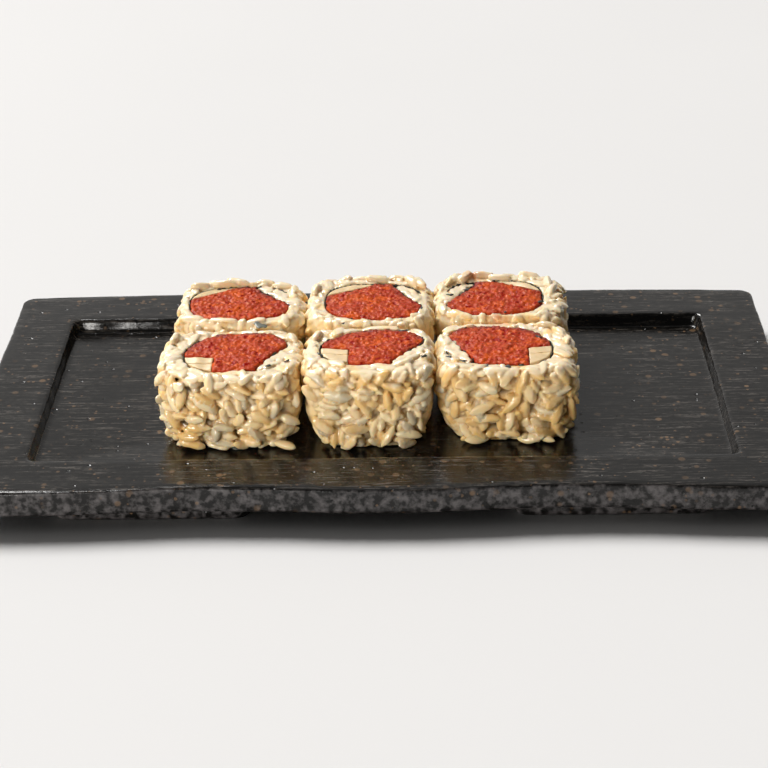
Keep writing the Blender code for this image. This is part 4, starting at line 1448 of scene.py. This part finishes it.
def sheet_line(roll):
    """Degrees along the sheet, and its distance from the filling's middle."""
    last = POCKET_END + 360 - (1 - OUTER_END) * POCKET_SPAN
    degrees = np.arange(POCKET_START, last, SHEET_STEP)
    dent = np.where(degrees <= POCKET_END, pocket_dent(degrees), 0.0)
    radius = sheet_radius(roll, degrees, 0.0) - dent
    return degrees, radius


def make_nori(roll, settings, material):
    degrees, radius = sheet_line(roll)
    run = np.column_stack((degrees * RUN_PER_DEGREE, np.full(len(degrees), float(roll.seed) * 7)))
    blots = np.clip(soft_noise(run, 4.0, roll.seed) - 0.7, 0.0, 1.0)
    half = to_mm(settings.nori_thickness) / 2 * (0.75 + 3.0 * blots)
    radius = radius + 0.10 * soft_noise(run, 6.0, roll.seed + 1)
    torn = 0.22 * soft_noise(run, 1.7, roll.seed + 2) + 0.12 * soft_noise(run, 0.7, roll.seed + 3)
    sunk = sheet_hidden(roll, degrees) * 2.2 * (1 - 0.8 * blots)
    top = roll.top - 0.12 + torn - sunk
    rows = []
    for share in np.linspace(-1.0, 1.0, SHEET_ACROSS):
        spots = section_points(roll, degrees, radius + half * share)
        rows.append(at_height(spots, top - 0.12 * abs(share)))
    verts, faces = sheet_solid(rows)
    make_piece(f"nori_sheet_{roll.name}", verts, outward_faces(verts, faces), [material],
               (f"nori_{roll.name}",))


def plank_place(plank, spots):
    """Places along and across a plank, whose ends are cut at a slant."""
    local = turned(np.asarray(spots) - (plank.x, plank.y), -plank.turn)
    slope = math.tan(math.radians(plank.end_slant))
    return np.stack((local[..., 0] - slope * local[..., 1], local[..., 1]), axis=-1)


def from_plank(plank, local):
    slope = math.tan(math.radians(plank.end_slant))
    straight = np.stack((local[..., 0] + slope * local[..., 1], local[..., 1]), axis=-1)
    return turned(straight, plank.turn) + (plank.x, plank.y)


def plank_entry(roll, plank, degrees, grow):
    """From the filling's middle along each direction, how far to the plank, or a long way."""
    start = plank_place(plank, (roll.filling.x, roll.filling.y))
    way = plank_place(plank, section_points(roll, degrees, np.ones(len(degrees)))) - start
    way = np.where(np.abs(way) < 1e-6, 1e-6, way)
    half = np.array((plank.size_x / 2 + grow, plank.size_y / 2 + grow))
    first = (-half - start) / way
    second = (half - start) / way
    enters = np.minimum(first, second).max(axis=1)
    leaves = np.maximum(first, second).min(axis=1)
    return np.where((enters < leaves) & (enters > 0), enters, 99.0)


def plug(outline_at, rings, top_at, rim_drop):
    """A closed plug on the base: a straight wall, then rings in to its middle at the heights of top_at."""
    top_edge = top_at(outline_at(1.0), 1.0) - rim_drop
    loops = [at_height(outline_at(1.0), BASE_Z + (top_edge - BASE_Z) * level) for level in (0.0, 0.55, 0.9)]
    loops.append(at_height(outline_at(1.0), top_edge))
    for ring in range(rings):
        share = 1.0 - (ring + 0.35) / (rings + 0.35)
        spots = outline_at(share)
        loops.append(at_height(spots, top_at(spots, share)))
    verts, faces = bridge(loops)
    count = len(loops[0])
    verts, faces = cap_end(verts, faces, 0, count, BASE_Z, facing_up=False)
    last = (len(loops) - 1) * count
    return cap_end(verts, faces, last, count, verts[last:last + count, 2].mean(), facing_up=True)


def make_tuna(roll, settings, material):
    degrees = 360.0 * np.arange(TUNA_STEPS) / TUNA_STEPS
    edge = filling_radius(roll, degrees, TUNA_CLEAR)
    for plank in roll.planks:
        edge = np.minimum(edge, plank_entry(roll, plank, degrees, PLANK_CLEAR))
    run = np.column_stack((degrees * RUN_PER_DEGREE, np.full(TUNA_STEPS, float(roll.seed))))
    ragged = 0.22 * soft_noise(run, 2.6, roll.seed + 6)
    lump_size = to_mm(settings.lump_size)
    lump_height = to_mm(settings.lump_height)
    smeared = SMEAR_REACH * sheet_hidden(roll, degrees)

    def outline_at(share):
        stray = np.minimum(ragged, 0.12) * share + np.where(share > 0.9, smeared, 0.0)
        return section_points(roll, degrees, edge * share + stray)

    def lumps_at(spots):
        coarse, number = cell_domes(turned(spots, 25), lump_size, roll.seed + 7)
        return coarse * (0.35 + 0.65 * number)

    def top_at(spots, share):
        crown = TUNA_CROWN * (1 - share ** 5)
        swell = 0.16 * soft_noise(spots, 9.0, roll.seed + 9)
        return roll.top - 0.25 + crown + swell

    verts, faces = plug(outline_at, TUNA_RINGS, top_at, 0.3)
    verts, out, _, faces = fused(verts, outward_faces(verts, faces), to_mm(settings.mince_fineness))
    on_top = np.clip((out[:, 2] - 0.2) / 0.4, 0.0, 1.0) * (verts[:, 2] > roll.top - 3.0)
    lumps = lumps_at(verts[:, :2])
    verts[:, 2] += on_top * (lumps - 0.35) * lump_height * 1.6
    verts[:, 2] = np.minimum(verts[:, 2], roll.top + 1.3)
    verts, _, _, faces = reshaped(verts, faces, [("DECIMATE", {"ratio": MINCE_KEPT})])
    lumps = lumps_at(verts[:, :2])
    place, radius = section_place(roll, verts)
    # The rim mark paints the maroon edge: nori colour bled into the mince plus painted shade along the
    # sheet, strongest on the far side
    near_sheet = np.clip(1 - (filling_radius(roll, place, TUNA_CLEAR) - radius) / 3.2, 0.0, 1.0)
    far_side = np.clip(0.55 + 0.9 * roll.flip_y * np.sin(np.radians(place)), 0.0, 1.0)
    uneven = np.clip(0.7 + 0.45 * soft_noise(verts[:, :2], 8.0, roll.seed + 10), 0.1, 1.0)
    marks = {"lump": lumps, "rim": near_sheet ** 0.9 * far_side * uneven * 0.9}
    make_piece(f"minced_tuna_{roll.name}", verts, faces, [material],
               (f"tuna_{roll.name}",), marks)


def clipped(outline, plank):
    """The part of an outline that lies inside a plank's turned rectangle."""
    points = plank_place(plank, outline)
    for axis, sign, half in ((0, 1, plank.size_x / 2), (0, -1, plank.size_x / 2),
                             (1, 1, plank.size_y / 2), (1, -1, plank.size_y / 2)):
        kept = []
        for here, there in zip(points, np.roll(points, -1, axis=0)):
            room_here = half - sign * here[axis]
            room_there = half - sign * there[axis]
            if room_here >= 0:
                kept.append(here)
            if room_here * room_there < 0:
                kept.append(here + (there - here) * room_here / (room_here - room_there))
        points = np.array(kept)
    return points


def evenly(points, count):
    """A closed outline in count even steps."""
    closed = np.vstack((points, points[:1]))
    steps = np.linalg.norm(np.diff(closed, axis=0), axis=1)
    travelled = np.concatenate(((0.0,), np.cumsum(steps)))
    places = np.arange(count) * travelled[-1] / count
    return np.column_stack([np.interp(places, travelled, closed[:, axis]) for axis in (0, 1)])


def make_baton(roll, plank, material):
    degrees = np.arange(0.0, 360.0, 1.5)
    outline = section_points(roll, degrees, filling_radius(roll, degrees, BATON_CLEAR))
    local = evenly(clipped(outline, plank), BATON_STEPS)
    middle = local.mean(axis=0)
    shrink = 0.22 / np.abs(local - middle).max(axis=0)

    def outline_at(share):
        eased = 1 - (1 - share) * np.where(share > 0.93, 0.5, 1.0)
        spots = middle + (local - middle) * (eased - shrink * 0.4)
        spots = spots + 0.05 * soft_noise(spots, 2.2, roll.seed + 12)[:, None]
        return from_plank(plank, spots)

    def top_at(spots, share):
        across = plank_place(plank, spots)
        fibres = 0.05 * np.sin(across[:, 1] * 7.0 + 0.8 * np.sin(across[:, 0] * 0.9))
        slope = 0.10 * soft_noise(across, 7.0, roll.seed + 13)
        return roll.top - 0.06 + fibres + slope - 0.25 * np.clip(share - 0.93, 0, 1) / 0.07

    verts, faces = plug(outline_at, BATON_RINGS, top_at, 0.25)
    make_piece(f"pale_{plank.name}_{roll.name}", verts, outward_faces(verts, faces), [material],
               (f"{plank.name}_{roll.name}",))


# Small scraps and loose grains

Scrap = namedtuple("Scrap", "x y z length width yaw tilt")

NORI_SCRAPS = (
    Scrap(-35.8, -29.8, 35.35, 2.2, 1.1, 20, 8), Scrap(-30.0, -26.4, 35.30, 2.0, 0.9, 40, 5),
    Scrap(13.5, -27.0, 36.80, 2.2, 1.0, 35, 6), Scrap(9.4, -30.4, 36.75, 1.8, 0.8, 15, 8),
    Scrap(7.1, -8.4, 36.80, 3.6, 1.2, 10, 4), Scrap(21.4, -24.7, 35.25, 2.0, 1.1, -35, 8),
    Scrap(25.8, -27.7, 35.20, 2.4, 1.0, -15, 6), Scrap(33.3, -31.2, 35.15, 0.9, 2.0, 0, 10),
    Scrap(39.8, -31.8, 35.15, 1.9, 1.5, -20, 10), Scrap(50.0, -10.9, 35.30, 3.0, 1.3, -25, 6),
    Scrap(28.3, 24.3, 36.20, 2.6, 1.3, 8, 6), Scrap(22.4, 20.5, 36.15, 2.6, 0.9, -8, 4),
    Scrap(52.4, 14.0, 36.15, 2.4, 1.3, 30, 6), Scrap(-12.9, -2.2, 36.75, 1.0, 0.8, 0, 5),
    Scrap(-37.0, 11.0, 36.10, 1.5, 0.8, 30, 6), Scrap(40.5, 6.4, 36.05, 1.1, 0.9, 60, 6),
    Scrap(-20.0, -24.4, 36.80, 1.6, 0.7, -60, 6), Scrap(-56.0, 27.4, 36.10, 1.3, 0.6, 10, 4),
)
GREY_SCRAPS = (
    Scrap(-40.2, -0.9, 35.75, 3.2, 4.6, 62, 10), Scrap(-46.3, -36.6, 9.95, 6.0, 2.4, 8, 8),
)
LOOSE_GRAINS = (  # x, y, z, yaw, pitch and size of grains that stick out at the foot
    (51.6, -34.4, 11.3, -38, 6, 0.95), (46.0, -34.0, 11.4, 62, 20, 0.9), (57.6, -24.0, 14.2, 84, -12, 1.0),
    (-66.6, -29.0, 11.6, 70, 8, 0.9), (30.0, -35.6, 11.3, 15, 4, 1.0), (-31.0, -38.2, 11.3, -20, 5, 0.9),
)


SCRAP_STEPS = 18
SCRAP_RINGS = ((0.7, -0.16), (1.0, -0.04), (0.96, 0.07), (0.6, 0.15))    # share of its size, and height
SCRAP_SEED = 40
LOOSE_SEED = 51
LOOSE_TONE = 0.42


def scrap_part(scrap, seed):
    """A ragged chip with rounded faces."""
    angle = 2 * math.pi * np.arange(SCRAP_STEPS) / SCRAP_STEPS
    rng = np.random.default_rng(seed)
    ragged = 1 + 0.22 * np.sin(angle * 3 + rng.uniform(0, 6)) + 0.14 * np.sin(angle * 5 + rng.uniform(0, 6))
    loops = []
    for size, height in SCRAP_RINGS:
        x = np.cos(angle) * ragged * size * scrap.length / 2
        y = np.sin(angle) * ragged * size * scrap.width / 2
        loops.append(np.column_stack((x, y, height + 0.05 * np.sin(angle * 2))))
    verts, faces = bridge(loops)
    last = (len(loops) - 1) * SCRAP_STEPS
    verts, faces = cap_end(verts, faces, 0, SCRAP_STEPS, -0.18, facing_up=False)
    verts, faces = cap_end(verts, faces, last, SCRAP_STEPS, 0.17, facing_up=True)
    tilt = math.radians(scrap.tilt)
    spin = Matrix.Rotation(math.radians(scrap.yaw), 3, "Z") @ Matrix.Rotation(tilt, 3, "X")
    return verts @ np.array(spin).T + (scrap.x, scrap.y, scrap.z), faces


def make_scraps(settings):
    for name, scraps, material in (("nori_scraps", NORI_SCRAPS, bpy.data.materials["seaweed"]),
                                   ("starchy_scraps", GREY_SCRAPS, scrap_material())):
        verts, faces = joined([scrap_part(scrap, index + SCRAP_SEED) for index, scrap in enumerate(scraps)])
        make_piece(name, verts, outward_faces(verts, faces), [material])
    rng = np.random.default_rng(LOOSE_SEED)
    shapes = grain_shapes(rng)
    grains = []
    for x, y, z, yaw, pitch, size in LOOSE_GRAINS:
        half = np.array((to_mm(settings.grain_length), to_mm(settings.grain_width),
                         to_mm(settings.grain_height))) / 2 * size
        spin = Matrix.Rotation(math.radians(yaw), 3, "Z") @ Matrix.Rotation(math.radians(pitch), 3, "Y")
        grain = (shapes[rng.integers(GRAIN_VARIANTS)] * half) @ np.array(spin).T + (x, y, z)
        grain[:, 2] = np.maximum(grain[:, 2], FLOOR_Z + 0.1)
        grains.append((grain, grain_faces()))
    verts, faces = joined(grains)
    marks = {mark: np.zeros(len(verts)) for mark in ("cut", "seam", "deep", "sauce")}
    marks["tone"] = np.full(len(verts), LOOSE_TONE)
    make_piece("loose_grains", verts, faces, [bpy.data.materials["cooked_rice"]], marks=marks)


# Stage

FLOOR_HALF = 3000.0
KEY_PLACE = (-0.55, 0.60, 0.60)    # the places, sizes and aims of the lights and the camera are in metres
KEY_SIZE = (0.13, 0.13)
KEY_AIM = (0.0, 0.0, 0.02)
KEY_TINT = (1.0, 0.965, 0.92)
FILL_PLACE = (-0.42, -0.56, 0.22)
FILL_SIZE = (0.45, 0.15)
FILL_AIM = (-0.02, 0.0, 0.02)
FILL_TINT = (1.0, 0.97, 0.93)
BACK_WAY = (-0.70, 1.0, 1.40)      # toward the broad light
BACK_WIDTH = 24.0                  # how many degrees across it looks
BACK_TINT = (1.0, 0.985, 0.97)
ROOM_TINT = (1.0, 0.985, 0.965, 1.0)
ROOM_WAY = (-0.55, 0.83, 0.0)      # toward the room's bright side
CAMERA_PLACE = (0.01353, -0.61156, 0.32601)
CAMERA_PITCH = 0.4728
CAMERA_YAW = 0.0221
CAMERA_ROLL = -0.0216
FOCAL_PIXELS = 2062.94
IMAGE_SIZE = 768
SENSOR = 36.0


def make_camera():
    forward = Vector((-math.sin(CAMERA_YAW) * math.cos(CAMERA_PITCH),
                      math.cos(CAMERA_YAW) * math.cos(CAMERA_PITCH), -math.sin(CAMERA_PITCH)))
    level = Vector((math.cos(CAMERA_YAW), math.sin(CAMERA_YAW), 0.0))
    upright = level.cross(forward)
    right = level * math.cos(CAMERA_ROLL) + upright * math.sin(CAMERA_ROLL)
    up = -level * math.sin(CAMERA_ROLL) + upright * math.cos(CAMERA_ROLL)
    lens = bpy.data.cameras.new("camera")
    lens.sensor_width = SENSOR
    lens.lens = SENSOR * FOCAL_PIXELS / IMAGE_SIZE
    lens.clip_start = 0.01
    camera = bpy.data.objects.new("camera", lens)
    camera.matrix_world = Matrix((right, up, -forward)).transposed().to_4x4()
    camera.location = CAMERA_PLACE
    bpy.context.scene.collection.objects.link(camera)
    bpy.context.scene.camera = camera


def add_softbox(name, place, target, size, power, colour):
    light = bpy.data.lights.new(name, "AREA")
    light.shape = "RECTANGLE"
    light.size, light.size_y = size
    light.energy = power
    light.color = colour
    item = bpy.data.objects.new(name, light)
    item.location = place
    item.rotation_euler = (Vector(target) - Vector(place)).to_track_quat("-Z", "Y").to_euler()
    item.visible_camera = False
    bpy.context.scene.collection.objects.link(item)
    return item


def add_broad_light(name, way, width, strength, colour):
    """A large far light, as even over the board as over the plate."""
    light = bpy.data.lights.new(name, "SUN")
    light.angle = math.radians(width)
    light.energy = strength
    light.color = colour
    item = bpy.data.objects.new(name, light)
    item.rotation_euler = (-Vector(way)).to_track_quat("-Z", "Y").to_euler()
    bpy.context.scene.collection.objects.link(item)


def make_room(settings):
    """Soft light from every side: bright behind the plate and to its left, dim from the viewer's side."""
    world = bpy.data.worlds.new("studio")
    world.use_nodes = True
    tree = world.node_tree
    sky = tree.nodes["Background"]
    way = add_node(tree, "ShaderNodeTexCoord").outputs["Generated"]
    facing = add_node(tree, "ShaderNodeVectorMath", {0: way, 1: ROOM_WAY}, operation="DOT_PRODUCT")
    share = spread(tree, facing.outputs["Value"], -0.2, 1.0, settings.front_light, settings.room_light)
    tree.links.new(share, sky.inputs["Strength"])
    sky.inputs["Color"].default_value = ROOM_TINT
    bpy.context.scene.world = world


def all_but(floor):
    """The plate and its rolls, for a light that leaves the shadow under the plate dark."""
    lit = bpy.data.collections.new("lit_from_the_front")
    for item in bpy.context.scene.objects:
        if item.type == "MESH" and item != floor:
            lit.objects.link(item)
    return lit


def make_stage(settings):
    corners = np.array(((-1, -1, 0), (1, -1, 0), (1, 1, 0), (-1, 1, 0))) * FLOOR_HALF
    mesh = bpy.data.meshes.new("floor")
    mesh.from_pydata((corners * MM).tolist(), [], [(0, 1, 2, 3)])
    mesh.materials.append(floor_material(settings))
    floor = bpy.data.objects.new("floor", mesh)
    bpy.context.scene.collection.objects.link(floor)
    make_room(settings)
    add_softbox("key_light", KEY_PLACE, KEY_AIM, KEY_SIZE, settings.key_power, KEY_TINT)
    add_broad_light("back_light", BACK_WAY, BACK_WIDTH, settings.back_strength, BACK_TINT)
    fill = add_softbox("fill_light", FILL_PLACE, FILL_AIM, FILL_SIZE, settings.fill_power, FILL_TINT)
    fill.light_linking.receiver_collection = all_but(floor)
    make_camera()
    bpy.context.scene.view_settings.view_transform = "Standard"


# Operators and panel

class ROLLS_OT_plate(bpy.types.Operator):
    """Make the stoneware plate with its feet, well and hand-cut edges"""
    bl_idname = "rolls.make_plate"
    bl_label = "Stoneware Plate"

    def execute(self, context):
        make_plate(context.scene.roll_plate)
        return {"FINISHED"}


class ROLLS_OT_rice(bpy.types.Operator):
    """Make the rice of all six rolls, grain by grain, over its own core"""
    bl_idname = "rolls.make_rice"
    bl_label = "Rice"

    def execute(self, context):
        settings = context.scene.roll_rice
        material = rice_material(settings)
        for roll in ROLLS:
            make_rice(roll, settings, material)
        return {"FINISHED"}


class ROLLS_OT_nori(bpy.types.Operator):
    """Make the torn-edged seaweed sheet inside each roll"""
    bl_idname = "rolls.make_nori"
    bl_label = "Nori"

    def execute(self, context):
        settings = context.scene.roll_filling
        material = nori_material(settings)
        for roll in ROLLS:
            make_nori(roll, settings, material)
        return {"FINISHED"}


class ROLLS_OT_tuna(bpy.types.Operator):
    """Make the minced tuna in each roll"""
    bl_idname = "rolls.make_tuna"
    bl_label = "Minced Tuna"

    def execute(self, context):
        settings = context.scene.roll_filling
        material = tuna_material(settings)
        for roll in ROLLS:
            make_tuna(roll, settings, material)
        return {"FINISHED"}


class ROLLS_OT_batons(bpy.types.Operator):
    """Make the pale batons beside the tuna"""
    bl_idname = "rolls.make_batons"
    bl_label = "Batons"

    def execute(self, context):
        material = baton_material(context.scene.roll_filling)
        for roll in ROLLS:
            for plank in roll.planks:
                make_baton(roll, plank, material)
        return {"FINISHED"}


class ROLLS_OT_scraps(bpy.types.Operator):
    """Make the loose grains and the scraps of seaweed on the cuts"""
    bl_idname = "rolls.make_scraps"
    bl_label = "Scraps and Loose Grains"

    def execute(self, context):
        make_scraps(context.scene.roll_rice)
        return {"FINISHED"}


class ROLLS_OT_stage(bpy.types.Operator):
    """Make the pale floor, the soft lights and the camera"""
    bl_idname = "rolls.make_stage"
    bl_label = "Stage"

    def execute(self, context):
        make_stage(context.scene.roll_stage)
        return {"FINISHED"}


class ROLLS_PT_sidebar(bpy.types.Panel):
    """Buttons and settings for the rolls"""
    bl_idname = "ROLLS_PT_sidebar"
    bl_label = "Rice Rolls"
    bl_space_type = "VIEW_3D"
    bl_region_type = "UI"
    bl_category = "Rice Rolls"

    def draw(self, context):
        layout = self.layout
        for operator in OPERATORS:
            layout.operator(operator.bl_idname)
        for owner in SETTINGS:
            settings = getattr(context.scene, owner)
            box = layout.box()
            for name in settings.__annotations__:
                box.prop(settings, name)


OPERATORS = (ROLLS_OT_plate, ROLLS_OT_rice, ROLLS_OT_nori, ROLLS_OT_tuna, ROLLS_OT_batons,
             ROLLS_OT_scraps, ROLLS_OT_stage)
SETTINGS = {"roll_plate": PlateSettings, "roll_rice": RiceSettings, "roll_filling": FillingSettings,
            "roll_stage": StageSettings}


def register():
    for kind in (*SETTINGS.values(), *OPERATORS, ROLLS_PT_sidebar):
        bpy.utils.register_class(kind)
    for owner, kind in SETTINGS.items():
        setattr(bpy.types.Scene, owner, PointerProperty(type=kind))


def unregister():
    for owner in SETTINGS:
        delattr(bpy.types.Scene, owner)
    for kind in (ROLLS_PT_sidebar, *reversed(OPERATORS), *reversed(list(SETTINGS.values()))):
        bpy.utils.unregister_class(kind)


def main():
    register()
    bpy.ops.rolls.make_plate()
    bpy.ops.rolls.make_rice()
    bpy.ops.rolls.make_nori()
    bpy.ops.rolls.make_tuna()
    bpy.ops.rolls.make_batons()
    bpy.ops.rolls.make_scraps()
    bpy.ops.rolls.make_stage()


if __name__ == "__main__":
    main()
